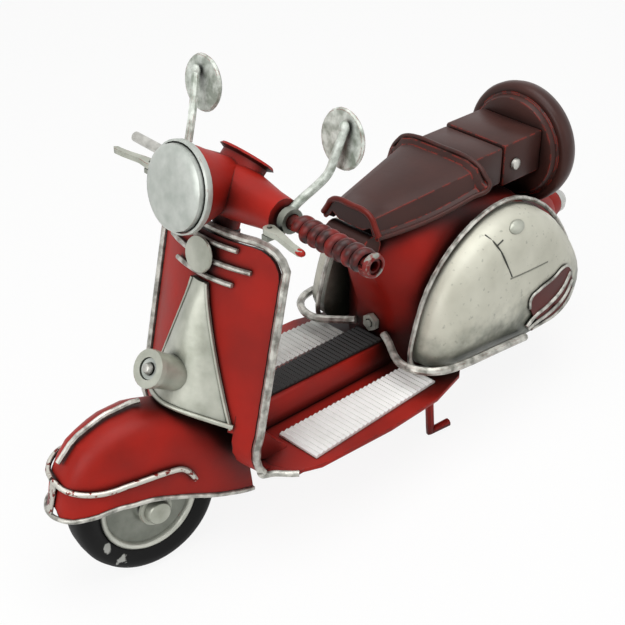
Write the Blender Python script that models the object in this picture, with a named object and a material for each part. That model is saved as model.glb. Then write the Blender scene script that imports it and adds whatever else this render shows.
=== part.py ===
"""Tin-plate model of a step-through motor scooter.

Units are metres. The pieces are drawn in the floor frame: +X forward, +Y left, +Z up, with the floor level.
The stance empty then sets the tail down on its wheels and centres the model on the ground.
"""

import math

import bmesh
import bpy
from mathutils import Matrix, Vector

# Fits
GAP = 0.0003                      # between two seated faces
RUN = 0.0003                      # round a turning pin

# Stance and wheels
WHEEL_RADIUS = 0.031
WHEELBASE = 0.1932
FRONT_AXLE_X = 0.092
TAIL_DOWN = math.radians(4.0)     # the floor slopes down to the tail by about this
TYRE_HALF_WIDTH = 0.0085
TYRE_SECTION = 0.0095             # tread to bead
TREAD_FLAT = 0.007                # half width of the flat tread
RIM_HALF_WIDTH = 0.0065
AXLE_RADIUS = 0.002
HUB_RADIUS = 0.0075

# Steering
RAKE = math.radians(12.0)
STEER_BEHIND_SHIELD = 0.0107      # top of the steering axis behind the shield's edge
STEER_ABOVE_SHIELD = 0.0135       # and above it
STEER_AT_REST = math.radians(-10.6)   # the wheel is turned to the right, as it stands
BAR_OFF_WHEEL = math.radians(6.1)     # the bar is set this far back towards straight
STEM_RADIUS = 0.0036
COLUMN_RADIUS = 0.0058
NECK_LENGTH = 0.014
COLUMN_LENGTH = 0.066
CROWN_CLEAR = 0.0043              # tread to the crown's middle
LEG_INSIDE = 0.0091
LEG_THICK = 0.0016
LEG_WIDTH = 0.0075

# Floor, tunnel and mats
FLOOR_TOP = 0.044
FLOOR_THICK = 0.002
FLOOR_FRONT = 0.0534
FLOOR_REAR = -0.057
FLOOR_HALF = 0.0455
FLOOR_NOTCH_X = 0.044
FLOOR_NOTCH_HALF = 0.0240
TUNNEL_HALF = 0.012
TUNNEL_TOP = 0.0540
TUNNEL_FRONT = 0.043
TUNNEL_REAR = -0.0352
MAT_THICK = 0.0016
MAT_RIBS = 14

# Leg shield
SHIELD_HALF = 0.0315
SHIELD_TOP = 0.1365
SHIELD_THICK = 0.0015
SHIELD_SETBACK = 0.0085           # the edges stand this far behind the middle
SHIELD_SLOPE = 0.203
SHIELD_DATUM_X = 0.057            # the middle of the shield lies here
SHIELD_DATUM_Z = 0.130
SHIELD_BEND = 0.017               # radius of the bend into the floor
SHIELD_CORNER = 0.011
NOTCH_HALF = 0.0235
NOTCH_ABOVE_WHEEL = 0.0080
TRIM_RADIUS = 0.0017

# Rear body
BODY_HALF = 0.026
BODY_FRONT = -0.036
BODY_REAR = -0.149
PANEL_LEAN = 0.0120               # the front panel leans forward by this
PANEL_BEND = 0.0680               # above this height
WELL_CLEAR = 0.0035               # round the rear tyre
WELL_HALF = 0.0115
COWL_DEPTH = 0.0165
COWL_TRIM_RADIUS = 0.0011
RAIL_RADIUS = 0.0018

# Saddle, box and spare wheel cover
SADDLE_NOSE = -0.020
SADDLE_REAR = -0.0745
SADDLE_NOSE_HALF = 0.0125
SADDLE_REAR_HALF = 0.0235
SADDLE_SKIRT = 0.0120
BOX_HALF = 0.0165
BOX_SEAM = -0.0967
BOX_REAR = -0.1222
BOX_BOTTOM = 0.1119
BOX_TOP = 0.1300
COVER_RADIUS = 0.028
COVER_RIDGE = 0.0228
COVER_DEPTH = 0.0145
COVER_Z = 0.1165

# Handlebar
BAR_AHEAD = 0.0015                # of the top of the steering axis
BAR_ABOVE_SHIELD = 0.0155
ARM_HALF = 0.033
ARM_END_RADIUS = 0.0070
HEADSET_RADIUS = 0.0108
GRIP_CORE_RADIUS = 0.0028
GRIP_WIRE = 0.0016
GRIP_TURNS = 8
GRIP_PITCH = 0.0045
GRIP_INSET = 0.0100               # arm end to the first turn
GRIP_LIP = 0.0025                 # bare core past the last turn
BARE_BAR_RADIUS = 0.0021
BARE_BAR_LENGTH = 0.0275
LAMP_AHEAD = 0.0243
LAMP_ABOVE_SHIELD = 0.0220
LAMP_RADIUS = 0.0176
LAMP_TILT = math.radians(11.3)
MIRROR_RADIUS = 0.0115
MIRROR_THICK = 0.0018
STEM_WIRE = 0.0017
LEVER_THICK = 0.0022

SEG = 32


def clear_scene():
    for item in list(bpy.data.objects):
        bpy.data.objects.remove(item, do_unlink=True)


def material(name, colour, roughness, metallic):
    made = bpy.data.materials.new(name)
    made.use_nodes = True
    shader = made.node_tree.nodes["Principled BSDF"]
    shader.inputs["Base Color"].default_value = (*colour, 1.0)
    shader.inputs["Roughness"].default_value = roughness
    shader.inputs["Metallic"].default_value = metallic
    return made


clear_scene()
RED = material("red_paint", (0.42, 0.03, 0.02), 0.4, 0.0)
BROWN = material("brown_paint", (0.055, 0.022, 0.018), 0.4, 0.0)
SILVER = material("silver_paint", (0.55, 0.56, 0.52), 0.4, 0.7)
BLACK = material("black_rubber", (0.012, 0.013, 0.012), 0.6, 0.0)
STEEL = material("bright_steel", (0.6, 0.6, 0.58), 0.3, 1.0)


def empty(name, parent=None):
    made = bpy.data.objects.new(name, None)
    bpy.context.scene.collection.objects.link(made)
    made.parent = parent
    return made


def add(name, mesh, finish, parent, smooth=True):
    """One named piece. Its mesh is in the floor frame, so the parent's rest place is taken off it."""
    made = bpy.data.objects.new(name, mesh)
    bpy.context.scene.collection.objects.link(made)
    made.parent = parent
    made.matrix_parent_inverse = PLACES[parent.name].inverted()
    mesh.materials.append(finish)
    if smooth:
        mesh.shade_smooth()
        mesh.set_sharp_from_angle(angle=math.radians(38))
    return made


def helper(made):
    made.hide_render = True
    made.display_type = "WIRE"
    return made


def mesh_of(bm, name):
    bmesh.ops.remove_doubles(bm, verts=bm.verts, dist=1e-6)
    bmesh.ops.recalc_face_normals(bm, faces=bm.faces)
    mesh = bpy.data.meshes.new(name)
    bm.to_mesh(mesh)
    bm.free()
    return mesh


def turned(name, profile, centre, axis, segments=SEG, phase=0.0):
    """A profile of (radius, along) points, closed on itself, turned about an axis through centre."""
    bm = bmesh.new()
    points = [bm.verts.new((r, 0.0, a)) for r, a in profile]
    pairs = [(points[i - 1], points[i]) for i in range(len(points))]
    edges = [bm.edges.new(pair) for pair in pairs if pair[0].co.x > 0 or pair[1].co.x > 0]
    bmesh.ops.spin(
        bm, geom=points + edges, cent=(0, 0, 0), axis=(0, 0, 1), angle=math.tau, steps=segments, use_merge=True
    )
    bmesh.ops.dissolve_degenerate(bm, dist=1e-7, edges=bm.edges)
    turn = Vector((0, 0, 1)).rotation_difference(Vector(axis).normalized()).to_matrix().to_4x4()
    bm.transform(Matrix.Translation(centre) @ turn @ Matrix.Rotation(phase, 4, "Z"))
    return mesh_of(bm, name)


def rod(name, start, end, radius, segments=16):
    start, end = Vector(start), Vector(end)
    length = (end - start).length
    return turned(name, [(0, 0), (radius, 0), (radius, length), (0, length)], start, end - start, segments)


def lofted(name, rings, strips=False):
    """Rings of equal point counts joined in order. The ends are one face each, or strips between the two sides."""
    bm = bmesh.new()
    loops = [[bm.verts.new(p) for p in ring] for ring in rings]
    for a, b in zip(loops, loops[1:]):
        for i in range(len(a)):
            j = (i + 1) % len(a)
            bm.faces.new((a[i], a[j], b[j], b[i]))
    for end in (loops[0], loops[-1]):
        if not strips:
            bm.faces.new(end)
            continue
        last = len(end) - 1
        for i in range(last // 2):
            corners = [end[i], end[i + 1], end[last - i - 1], end[last - i]]
            bm.faces.new(corners[:2] + corners[3:] if corners[1] == corners[2] else corners)
    return mesh_of(bm, name)


def prism(name, outline, lift, to_place):
    """A flat outline raised by lift; to_place turns (u, v, w) into a point."""
    lower = [to_place(u, v, 0.0) for u, v in outline]
    upper = [to_place(u, v, lift) for u, v in outline]
    return lofted(name, [lower, upper])


def box(name, low, high):
    (x0, y0, z0), (x1, y1, z1) = low, high
    return prism(name, [(x0, y0), (x1, y0), (x1, y1), (x0, y1)], z1 - z0, lambda u, v, w: (u, v, z0 + w))


def smooth_path(points, per_span=4, closed=False):
    """Points on a smooth curve through the given ones."""
    points = [Vector(p) for p in points]
    count = len(points)
    made = []
    spans = count if closed else count - 1
    for i in range(spans):
        around = [(i + k) % count if closed else min(max(i + k, 0), count - 1) for k in (-1, 0, 1, 2)]
        a, b, c, d = (points[k] for k in around)
        for step in range(per_span):
            t = step / per_span
            made.append(
                0.5 * ((2 * b) + (c - a) * t + (2 * a - 5 * b + 4 * c - d) * t**2 + (3 * b - 3 * c + d - a) * t**3)
            )
    if not closed:
        made.append(points[-1])
    return made


def tube(name, points, radius, finish, parent, closed=False, resolution=2):
    """A round wire along points of the floor frame."""
    line = bpy.data.curves.new(name, "CURVE")
    line.dimensions = "3D"
    line.bevel_depth = radius
    line.bevel_resolution = resolution
    line.use_fill_caps = True
    spline = line.splines.new("POLY")
    spline.points.add(len(points) - 1)
    for slot, point in zip(spline.points, points):
        slot.co = (*point, 1.0)
    spline.use_cyclic_u = closed
    made = bpy.data.objects.new(name, line)
    bpy.context.scene.collection.objects.link(made)
    made.parent = parent
    made.matrix_parent_inverse = PLACES[parent.name].inverted()
    line.materials.append(finish)
    return made


def combine(target, tool, operation):
    step = target.modifiers.new(operation.lower() + "_" + tool.name, "BOOLEAN")
    step.operation = operation
    step.solver = "EXACT"
    step.object = tool
    helper(tool)


def soften(target, width, segments=2):
    step = target.modifiers.new("soft_edges", "BEVEL")
    step.width = width
    step.segments = segments
    step.limit_method = "ANGLE"
    step.angle_limit = math.radians(40)


def table(pairs, x):
    """Straight-line reading between (x, value) pairs listed by falling x."""
    for (x0, v0), (x1, v1) in zip(pairs, pairs[1:]):
        if x >= x1:
            return v0 + (v1 - v0) * (x0 - x) / (x0 - x1)
    return pairs[-1][1]


# Places of the stance and the joint axes
FRONT_AXLE = Vector((FRONT_AXLE_X, 0.0, WHEEL_RADIUS))
REAR_AXLE = FRONT_AXLE + Vector((-WHEELBASE * math.cos(TAIL_DOWN), 0.0, WHEELBASE * math.sin(TAIL_DOWN)))
WHEEL_TOP = FRONT_AXLE.z + WHEEL_RADIUS
WELL_RADIUS = WHEEL_RADIUS + WELL_CLEAR
BAR_Z = SHIELD_TOP + BAR_ABOVE_SHIELD
GRIP_START = ARM_HALF + GRIP_INSET
GRIP_END = GRIP_START + GRIP_TURNS * GRIP_PITCH + GRIP_LIP
STEER_X = SHIELD_DATUM_X + (SHIELD_DATUM_Z - SHIELD_TOP) * SHIELD_SLOPE - STEER_BEHIND_SHIELD
BAR_X = STEER_X + BAR_AHEAD
LAMP_CENTRE = Vector((STEER_X + LAMP_AHEAD, 0.0, SHIELD_TOP + LAMP_ABOVE_SHIELD))
STEER_TOP = Vector((STEER_X, 0.0, SHIELD_TOP + STEER_ABOVE_SHIELD))
STEER_AXIS = Vector((-math.sin(RAKE), 0.0, math.cos(RAKE)))
STEER_RUN = (STEER_TOP - FRONT_AXLE).dot(STEER_AXIS)
STEER_OFF = (STEER_TOP - FRONT_AXLE - STEER_AXIS * STEER_RUN).length
CROWN_DOWN = STEER_RUN - math.sqrt((WHEEL_RADIUS + CROWN_CLEAR) ** 2 - STEER_OFF**2)
STAND_PIVOT = Vector((-0.0420, 0.0285, FLOOR_TOP - FLOOR_THICK - 0.0045))
LEVER_PIVOT = Vector((BAR_X + 0.0092, ARM_HALF + 0.0035, BAR_Z - 0.0010))

PLACES = {}


def joint(name, place, parent):
    made = empty(name, parent)
    made.rotation_mode = "QUATERNION"
    above = PLACES[parent.name] if parent else Matrix.Identity(4)
    made.location = above.inverted() @ place
    PLACES[name] = Matrix.Translation(place)
    return made


def mirrored(point, side):
    return Vector((point.x, point.y * side, point.z))


SIDES = (("left", 1), ("right", -1))
stance = joint("stance", Vector((0, 0, 0)), None)
steering = joint("steering", STEER_TOP, stance)
steering.rotation_quaternion = Matrix.Rotation(STEER_AT_REST, 3, STEER_AXIS).to_quaternion()
bar = joint("bar_clamp", STEER_TOP, steering)
bar.rotation_quaternion = Matrix.Rotation(BAR_OFF_WHEEL, 3, STEER_AXIS).to_quaternion()
front_turn = joint("front_wheel_turn", FRONT_AXLE, steering)
rear_turn = joint("rear_wheel_turn", REAR_AXLE, stance)
stand_swing = joint("stand_swing", STAND_PIVOT, stance)
lever_pull = {side: joint(side + "_lever_pull", mirrored(LEVER_PIVOT, sign), bar) for side, sign in SIDES}


def steer_point(down):
    return STEER_TOP - STEER_AXIS * down


def ground_z(x):
    return (FRONT_AXLE_X - x) * math.tan(TAIL_DOWN) + WHEEL_RADIUS - WHEEL_RADIUS / math.cos(TAIL_DOWN)


def build_wheel(end, centre, parent, carrier, axle_half):
    across = (0, 1, 0)
    bead = WHEEL_RADIUS - TYRE_SECTION
    tyre = [
        (WHEEL_RADIUS, -TREAD_FLAT), (WHEEL_RADIUS, TREAD_FLAT),
        (WHEEL_RADIUS - 0.0022, TYRE_HALF_WIDTH), (bead + 0.003, TYRE_HALF_WIDTH),
        (bead, RIM_HALF_WIDTH), (bead, -RIM_HALF_WIDTH),
        (bead + 0.003, -TYRE_HALF_WIDTH), (WHEEL_RADIUS - 0.0022, -TYRE_HALF_WIDTH),
    ]
    facet = math.pi / SEG + TAIL_DOWN
    add(end + "_tyre", turned(end + "_tyre", tyre, centre, across, SEG, facet), BLACK, parent)
    rim = bead - GAP
    bore = AXLE_RADIUS + RUN
    half = [
        (rim, RIM_HALF_WIDTH), (rim - 0.0024, RIM_HALF_WIDTH + 0.0006), (rim - 0.0036, RIM_HALF_WIDTH - 0.0014),
        (HUB_RADIUS + 0.002, 0.0048), (HUB_RADIUS, 0.0062), (HUB_RADIUS - 0.001, 0.0085), (bore, 0.0085),
    ]
    profile = half + [(r, -a) for r, a in reversed(half)]
    add(end + "_wheel_disc", turned(end + "_wheel_disc", profile, centre, across, 24), SILVER, parent)
    reach = Vector((0, axle_half, 0))
    add(end + "_axle", rod(end + "_axle", centre - reach, centre + reach, AXLE_RADIUS), STEEL, carrier)


def shield_rows():
    """Points of the shield's middle line from the floor up, each with its forward normal and share of setback."""
    lean = math.atan(SHIELD_SLOPE)
    centre_z = FLOOR_TOP - FLOOR_THICK / 2 + SHIELD_BEND
    join_z = centre_z + SHIELD_BEND * math.sin(lean)
    join_x = SHIELD_DATUM_X + (SHIELD_DATUM_Z - join_z) * SHIELD_SLOPE
    centre_x = join_x - SHIELD_BEND * math.cos(lean)
    rows = []
    for step in range(7):
        turn = -math.pi / 2 + (math.pi / 2 + lean) * step / 6
        normal = Vector((math.cos(turn), 0, math.sin(turn)))
        rows.append((Vector((centre_x, 0, centre_z)) + normal * SHIELD_BEND, normal, step / 6))
    normal = Vector((math.cos(lean), 0, math.sin(lean)))
    for step in range(1, 5):
        z = join_z + (SHIELD_TOP - SHIELD_CORNER - join_z) * step / 4
        rows.append((Vector((SHIELD_DATUM_X + (SHIELD_DATUM_Z - z) * SHIELD_SLOPE, 0, z)), normal, 1.0))
    return rows


def shield_place(y, z, ahead=0.0):
    """A point ahead of the shield's straight part."""
    back = SHIELD_SETBACK * (y / SHIELD_HALF) ** 2
    return Vector((SHIELD_DATUM_X + (SHIELD_DATUM_Z - z) * SHIELD_SLOPE - back + ahead, y, z))


def shield_corner(spare, steps=5):
    """Half widths and heights round the top corner, spare metres outside the edge."""
    radius = SHIELD_CORNER + spare
    for step in range(1, steps + 1):
        turn = math.pi / 2 * step / steps
        yield (
            SHIELD_HALF - SHIELD_CORNER + radius * math.cos(turn),
            SHIELD_TOP - SHIELD_CORNER + radius * math.sin(turn),
        )


def build_shield():
    rings = []
    columns = [-1 + k / 6 for k in range(13)]
    lean = Vector((math.cos(math.atan(SHIELD_SLOPE)), 0, math.sin(math.atan(SHIELD_SLOPE))))
    stations = [(point, normal, share, SHIELD_HALF) for point, normal, share in shield_rows()]
    for half, z in shield_corner(0.0):
        stations.append((shield_place(0, z), lean, 1.0, max(half, 0.004)))
    for point, normal, share, half in stations:
        ring = []
        for side, order in ((0.5, columns), (-0.5, columns[::-1])):
            for u in order:
                back = Vector((-SHIELD_SETBACK * share * (u * half / SHIELD_HALF) ** 2, u * half, 0))
                ring.append(point + back + normal * (SHIELD_THICK * side))
        rings.append(ring)
    shield = add("leg_shield", lofted("leg_shield", rings), RED, stance)
    notch = box("shield_notch", (0.02, -NOTCH_HALF, 0.0), (0.12, NOTCH_HALF, WHEEL_TOP + NOTCH_ABOVE_WHEEL))
    combine(shield, add("shield_notch", notch, RED, stance), "DIFFERENCE")
    off = TRIM_RADIUS + GAP + 0.0002
    edge = []
    for point, normal, share in shield_rows()[2:]:
        edge.append(point + Vector((-SHIELD_SETBACK * share, SHIELD_HALF + off, 0)))
    for half, z in shield_corner(off):
        edge.append(shield_place(half, z))
    for k in (3, 2, 1):
        edge.append(shield_place((SHIELD_HALF - SHIELD_CORNER) * k / 4, SHIELD_TOP + off))
    path = edge + [shield_place(0, SHIELD_TOP + off)] + [mirrored(p, -1) for p in reversed(edge)]
    tube("shield_trim", path, TRIM_RADIUS, SILVER, stance)


def build_horn():
    rings = []
    top, low = SHIELD_TOP - 0.0183, WHEEL_TOP + 0.0098
    for step in range(7):
        t = step / 6
        z = low + (top - low) * t
        half = 0.0195 * (1 - t) ** 1.25 + 0.0040
        bulge = 0.0098 * (1 - t) ** 0.8 + 0.0006
        drop = 0.0075 * (1 - t) ** 2
        ring = []
        for side, order in ((1, range(-6, 7)), (0, range(6, -7, -1))):
            for k in order:
                u = k / 6
                place = shield_place(u * half, z - drop * u * u)
                out = SHIELD_THICK / 2 + GAP + 0.0003
                if side:
                    out += 0.0010 + bulge * (1 - abs(u) ** 1.7)
                ring.append(place + Vector((out, 0, 0)))
        rings.append(ring)
    cover = add("horn_cover", lofted("horn_cover", rings), SILVER, stance)
    base, end = Vector((0.0720, 0, low + 0.0087)), Vector((0.0880, 0, low + 0.0182))
    depth = (end - base).length
    cup = [
        (0, 0), (0.0070, 0), (0.0070, depth - 0.003), (0.0076, depth - 0.0025), (0.0076, depth),
        (0.0044, depth), (0.0040, depth - 0.003), (0, depth - 0.003),
    ]
    combine(cover, add("horn_cup", turned("horn_cup", cup, base, end - base, 24), SILVER, stance), "UNION")
    along = (end - base).normalized()
    ball = [(0, -0.0024), (0.0017, -0.0017), (0.0024, 0), (0.0017, 0.0017), (0, 0.0024)]
    seat = end - along * (0.003 - 0.0024 - GAP)
    add("horn_ball", turned("horn_ball", ball, seat, along, 12), STEEL, stance)


def build_badge():
    radius = 0.0010
    ahead = SHIELD_THICK / 2 + GAP + radius + 0.0002
    for name, down, reach in (("top", 0.0020, 0.0158), ("middle", 0.0090, 0.0223), ("low", 0.0155, 0.0156)):
        path = [shield_place(reach * k / 4, SHIELD_TOP - down, ahead) for k in range(-4, 5)]
        tube("badge_bar_" + name, path, radius, SILVER, stance)
    face = shield_place(0, SHIELD_TOP - 0.0075, ahead + radius + GAP + 0.0001)
    disc = [(0, 0), (0.0070, 0), (0.0073, 0.0006), (0.0070, 0.0013), (0, 0.0015)]
    axis = (1, 0, SHIELD_SLOPE)
    add("badge_disc", turned("badge_disc", disc, face, axis, 24), SILVER, stance)


def build_floor():
    half = [
        (FLOOR_NOTCH_X, FLOOR_NOTCH_HALF), (FLOOR_FRONT, FLOOR_NOTCH_HALF + 0.001), (FLOOR_FRONT, 0.0300),
        (0.0510, 0.0360), (0.0460, 0.0410), (0.0380, 0.0440), (0.0, FLOOR_HALF), (-0.030, 0.0440),
        (-0.050, 0.0385), (FLOOR_REAR, 0.0330),
    ]
    outline = half + [(x, -y) for x, y in reversed(half)]
    floor = prism("floor", outline, FLOOR_THICK, lambda u, v, w: (u, v, FLOOR_TOP - FLOOR_THICK + w))
    soften(add("floor", floor, RED, stance), 0.0007)
    level = FLOOR_TOP + GAP
    half = [(TUNNEL_HALF, level), (TUNNEL_HALF - 0.0006, level + 0.0040), (0.0098, TUNNEL_TOP - 0.0025)]
    half += [(0.0082, TUNNEL_TOP)]
    outline = half + [(-y, z) for y, z in reversed(half)]
    length = TUNNEL_FRONT - TUNNEL_REAR
    tunnel = prism("floor_tunnel", outline, length, lambda u, v, w: (TUNNEL_REAR + w, u, v))
    soften(add("floor_tunnel", tunnel, RED, stance), 0.0008)
    for side, sign in SIDES:
        mesh = ribbed(0.0375, -0.0375, level, MAT_THICK, MAT_RIBS * 2, 0.0185, 0.0400, 0.0355, sign)
        add("floor_mat_" + side, mesh, SILVER, stance, False)
    mesh = ribbed(0.0330, TUNNEL_REAR + 0.001, TUNNEL_TOP + GAP, 0.0012, MAT_RIBS * 2, -0.0075, 0.0060, 0.0075, 1)
    add("centre_mat", mesh, BLACK, stance, False)


def ribbed(front, rear, level, thick, ribs, inner, outer_front, outer_rear, sign):
    """A plate whose top is folded into ribs across its length, with its outer edge tapering."""
    outline = [(front, level), (rear, level)]
    step = (front - rear) / ribs
    for k in range(ribs):
        outline.append((rear + step * (k + 0.02), level + thick * 0.55))
        outline.append((rear + step * (k + 0.5), level + thick))
    outline.append((front, level + thick * 0.55))

    def place(u, v, w):
        outer = outer_front + (outer_rear - outer_front) * (front - u) / (front - rear)
        start = inner if inner > 0 else -outer
        return (u, sign * (start + (outer - start) * w), v)

    return prism("ribbed", outline, 1.0, place)


def build_column():
    inner, outer = STEM_RADIUS + RUN, COLUMN_RADIUS
    low = steer_point(NECK_LENGTH + GAP * 3 + COLUMN_LENGTH)
    profile = [(inner, 0), (outer, 0), (outer, COLUMN_LENGTH), (inner, COLUMN_LENGTH)]
    add("steering_column", turned("steering_column", profile, low, STEER_AXIS, 20), RED, stance)


def build_fork():
    crown = steer_point(CROWN_DOWN)
    stem = rod("front_fork", steer_point(NECK_LENGTH + GAP), crown, STEM_RADIUS, 20)
    stem = add("front_fork", stem, SILVER, steering)
    outer = LEG_INSIDE + LEG_THICK
    forward = Vector((math.cos(RAKE), 0, math.sin(RAKE)))
    rings = []
    for u in (-0.0025, 0.0025):
        middle = crown + forward * u
        rings.append([
            middle + Vector((0, y, 0)) + STEER_AXIS * w
            for y, w in ((-outer, -0.0014), (outer, -0.0014), (outer, 0.0014), (-outer, 0.0014))
        ])
    combine(stem, add("crown_bar", lofted("crown_bar", rings), SILVER, steering), "UNION")
    span = FRONT_AXLE - crown
    along = span.normalized()
    square = Vector((-along.z, 0, along.x))
    for side, sign in SIDES:
        outline = [(-0.0012, -LEG_WIDTH / 3), (-0.0012, LEG_WIDTH / 3), (span.length, LEG_WIDTH / 2)]
        for k in range(1, 8):
            turn = math.pi / 2 - math.pi * k / 8
            outline.append((span.length + math.cos(turn) * LEG_WIDTH / 2, math.sin(turn) * LEG_WIDTH / 2))
        outline.append((span.length, -LEG_WIDTH / 2))
        start = LEG_INSIDE if sign > 0 else -outer

        def place(u, v, w, start=start):
            return crown + along * u + square * v + Vector((0, start + w, 0))

        leg = prism("leg_" + side, outline, LEG_THICK, place)
        combine(stem, add("leg_" + side, leg, SILVER, steering), "UNION")
    reach = Vector((0, 0.03, 0))
    bore = rod("fork_bore", FRONT_AXLE - reach, FRONT_AXLE + reach, AXLE_RADIUS + GAP)
    combine(stem, add("fork_bore", bore, SILVER, steering), "DIFFERENCE")


# Stations of the mudguard: ahead of the axle, then over the tyre's top or half width
GUARD_TOP = [(0.0372, -0.0200), (0.0355, -0.0130), (0.033, -0.0055), (0.025, 0.0035), (0.013, 0.0088),
             (0.0, 0.0105), (-0.012, 0.0078), (-0.022, 0.0038), (-0.032, -0.0025), (-0.040, -0.0125), (-0.045, -0.0230)]
GUARD_LOW = [(0.0372, -0.0238), (0.028, -0.0228), (0.018, -0.0208), (0.003, -0.0215), (-0.012, -0.0260), (-0.027, -0.0315),
             (-0.045, -0.0365)]
GUARD_HALF = [(0.0372, 0.0048), (0.0355, 0.0078), (0.033, 0.0100), (0.025, 0.0132), (0.013, 0.0155), (0.0, 0.0162),
              (-0.022, 0.0165), (-0.037, 0.0155), (-0.045, 0.0138)]
GUARD_BAR = [(0.0262, 0.056), (0.0200, 0.054), (0.0134, 0.054), (0.0068, 0.0545), (0.0, 0.056),
             (-0.0055, 0.060), (-0.0098, 0.0655), (-0.0128, 0.058), (-0.0146, 0.045), (-0.0158, 0.030)]
GUARD_THICK = 0.0012
GUARD_NOSE = 0.0372
GUARD_REAR = -0.0425
GUARD_FLARE = 0.0014              # the lower edge turns out by this


def guard_place(x, turn, out=0.0):
    """A point of the mudguard's skin; turn runs from 0 at the left edge to pi at the right."""
    half = table(GUARD_HALF, x) + out + GUARD_FLARE * max(0.0, 1 - 8 * math.sin(turn)) ** 2
    low = table(GUARD_LOW, x)
    rise = table(GUARD_TOP, x) + out - low
    c, s = math.cos(turn), math.sin(turn)
    across = half * math.copysign(abs(c) ** 0.65, c)
    return Vector((FRONT_AXLE_X + x, across, WHEEL_TOP + low + rise * abs(s) ** 0.65))


def guard_off(x, turn, out):
    """A point standing off the mudguard's skin, squarely to it."""
    here = guard_place(x, turn)
    ahead = guard_place(x + 0.0005, turn) - guard_place(x - 0.0005, turn)
    around = guard_place(x, turn + 0.02) - guard_place(x, turn - 0.02)
    return here + ahead.cross(around).normalized() * -out


def build_guard():
    rings = []
    for step in range(17):
        x = GUARD_NOSE - (GUARD_NOSE - GUARD_REAR) * (step / 16) ** 1.15
        turns = [math.pi * k / 14 for k in range(15)]
        ring = [guard_place(x, t) for t in turns]
        ring += [guard_place(x, t, -GUARD_THICK) for t in reversed(turns)]
        rings.append(ring)
    guard = add("mudguard", lofted("mudguard", rings), RED, steering)
    above, below = steer_point(CROWN_DOWN - 0.020), steer_point(CROWN_DOWN - 0.0025)
    hole = rod("stem_hole", above, below, STEM_RADIUS + RUN, 20)
    combine(guard, add("stem_hole", hole, RED, steering), "DIFFERENCE")
    wire = 0.0011
    crest = [guard_off(0.0320 - 0.0340 * k / 12, math.pi / 2, wire + GAP * 2) for k in range(13)]
    tube("mudguard_crest", crest, wire, SILVER, steering)
    nose = guard_place(0.0343, math.pi / 2) + Vector((wire + GAP * 3, wire + GAP, 0))
    loop = [nose, nose + Vector((-0.0005, 0.0050, -0.0006)), nose + Vector((-0.0026, 0.0098, -0.0012))]
    for x, share in GUARD_BAR:
        loop.append(guard_off(x, math.pi * share, wire + GAP * 2))
    for side, sign in SIDES:
        path = [mirrored(spot, sign) for spot in loop]
        tube("mudguard_bar_" + side, path, wire, SILVER, steering)


BODY_TOP = [(BODY_FRONT, 0.0955), (-0.042, 0.1060), (-0.052, 0.1140), (-0.066, 0.1155), (-0.0745, 0.1116),
            (-0.097, 0.1086), (-0.112, 0.1020), (-0.122, 0.0925), (-0.128, 0.0866), (-0.140, 0.0856),
            (BODY_REAR, 0.0842)]
BODY_WIDE = [(BODY_FRONT, 0.0095), (-0.039, 0.0150), (-0.044, 0.0225), (-0.050, 0.0252), (-0.060, BODY_HALF),
             (-0.118, BODY_HALF), (-0.130, 0.0240), (-0.140, 0.0190), (BODY_REAR, 0.0115)]


def body_ring(x):
    half, top, low = table(BODY_WIDE, x), table(BODY_TOP, x), FLOOR_TOP + GAP
    lean = max(0.0, PANEL_LEAN * (1 - (BODY_FRONT - x) / 0.030))
    ring = []
    for k in range(17):
        turn = math.pi * k / 16
        c, s = math.cos(turn), math.sin(turn)
        rise = abs(s) ** 0.55
        z = low + (top - low) * rise
        forward = lean * max(0.0, z - PANEL_BEND) / (table(BODY_TOP, BODY_FRONT) - PANEL_BEND)
        ring.append((x + forward, half * math.copysign(abs(c) ** 0.55, c), z))
    return ring


def build_body():
    stations = [BODY_FRONT, -0.0375, -0.040, -0.044, -0.050, -0.060, -0.075, -0.090, -0.103, -0.112, -0.122]
    stations += [-0.128, -0.134, -0.140, BODY_REAR]
    body = add("rear_body", lofted("rear_body", [body_ring(x) for x in stations], True), RED, stance)
    reach = Vector((0, WELL_HALF, 0))
    well = rod("wheel_well", REAR_AXLE - reach, REAR_AXLE + reach, WELL_RADIUS, SEG)
    combine(body, add("wheel_well", well, RED, stance), "DIFFERENCE")
    reach = Vector((0, 0.0225, 0))
    bore = rod("axle_bore", REAR_AXLE - reach, REAR_AXLE + reach, AXLE_RADIUS + GAP)
    combine(body, add("axle_bore", bore, RED, stance), "DIFFERENCE")
    axis = Vector((1, 0, 0))
    seat = Vector((BODY_FRONT + GAP, 0, PANEL_BEND - 0.0078))
    nut = [(0.0022, 0), (0.0040, 0), (0.0040, 0.0026), (0.0022, 0.0026)]
    add("panel_nut", turned("panel_nut", nut, seat, axis, 6), STEEL, stance, False)
    stud = [(0, 0), (0.0016, 0), (0.0016, 0.0032), (0, 0.0032)]
    add("panel_stud", turned("panel_stud", stud, seat, axis, 12), STEEL, stance)


COWL = [(-0.0320, 0.0560), (-0.0335, 0.0680), (-0.0400, 0.0850), (-0.0530, 0.0990), (-0.0720, 0.1080),
        (-0.0920, 0.1085), (-0.1120, 0.0985), (-0.1270, 0.0820), (-0.1355, 0.0640), (-0.1310, 0.0500),
        (-0.1140, 0.0445), (-0.0850, 0.0442), (-0.0550, 0.0475), (-0.0380, 0.0500)]
COWL_MIDDLE = Vector((-0.082, 0.0, 0.066))
COWL_LAYERS = [(0.0, 1.0), (0.35, 0.985), (0.66, 0.93), (0.86, 0.80), (0.96, 0.55), (1.0, 0.25)]


def cowl_outline(scale, y):
    made = []
    for spot in smooth_path([(x, 0, z) for x, z in COWL], 3, True):
        spot = COWL_MIDDLE + (spot - COWL_MIDDLE) * scale
        made.append(Vector((spot.x, y, spot.z)))
    return made


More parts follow.
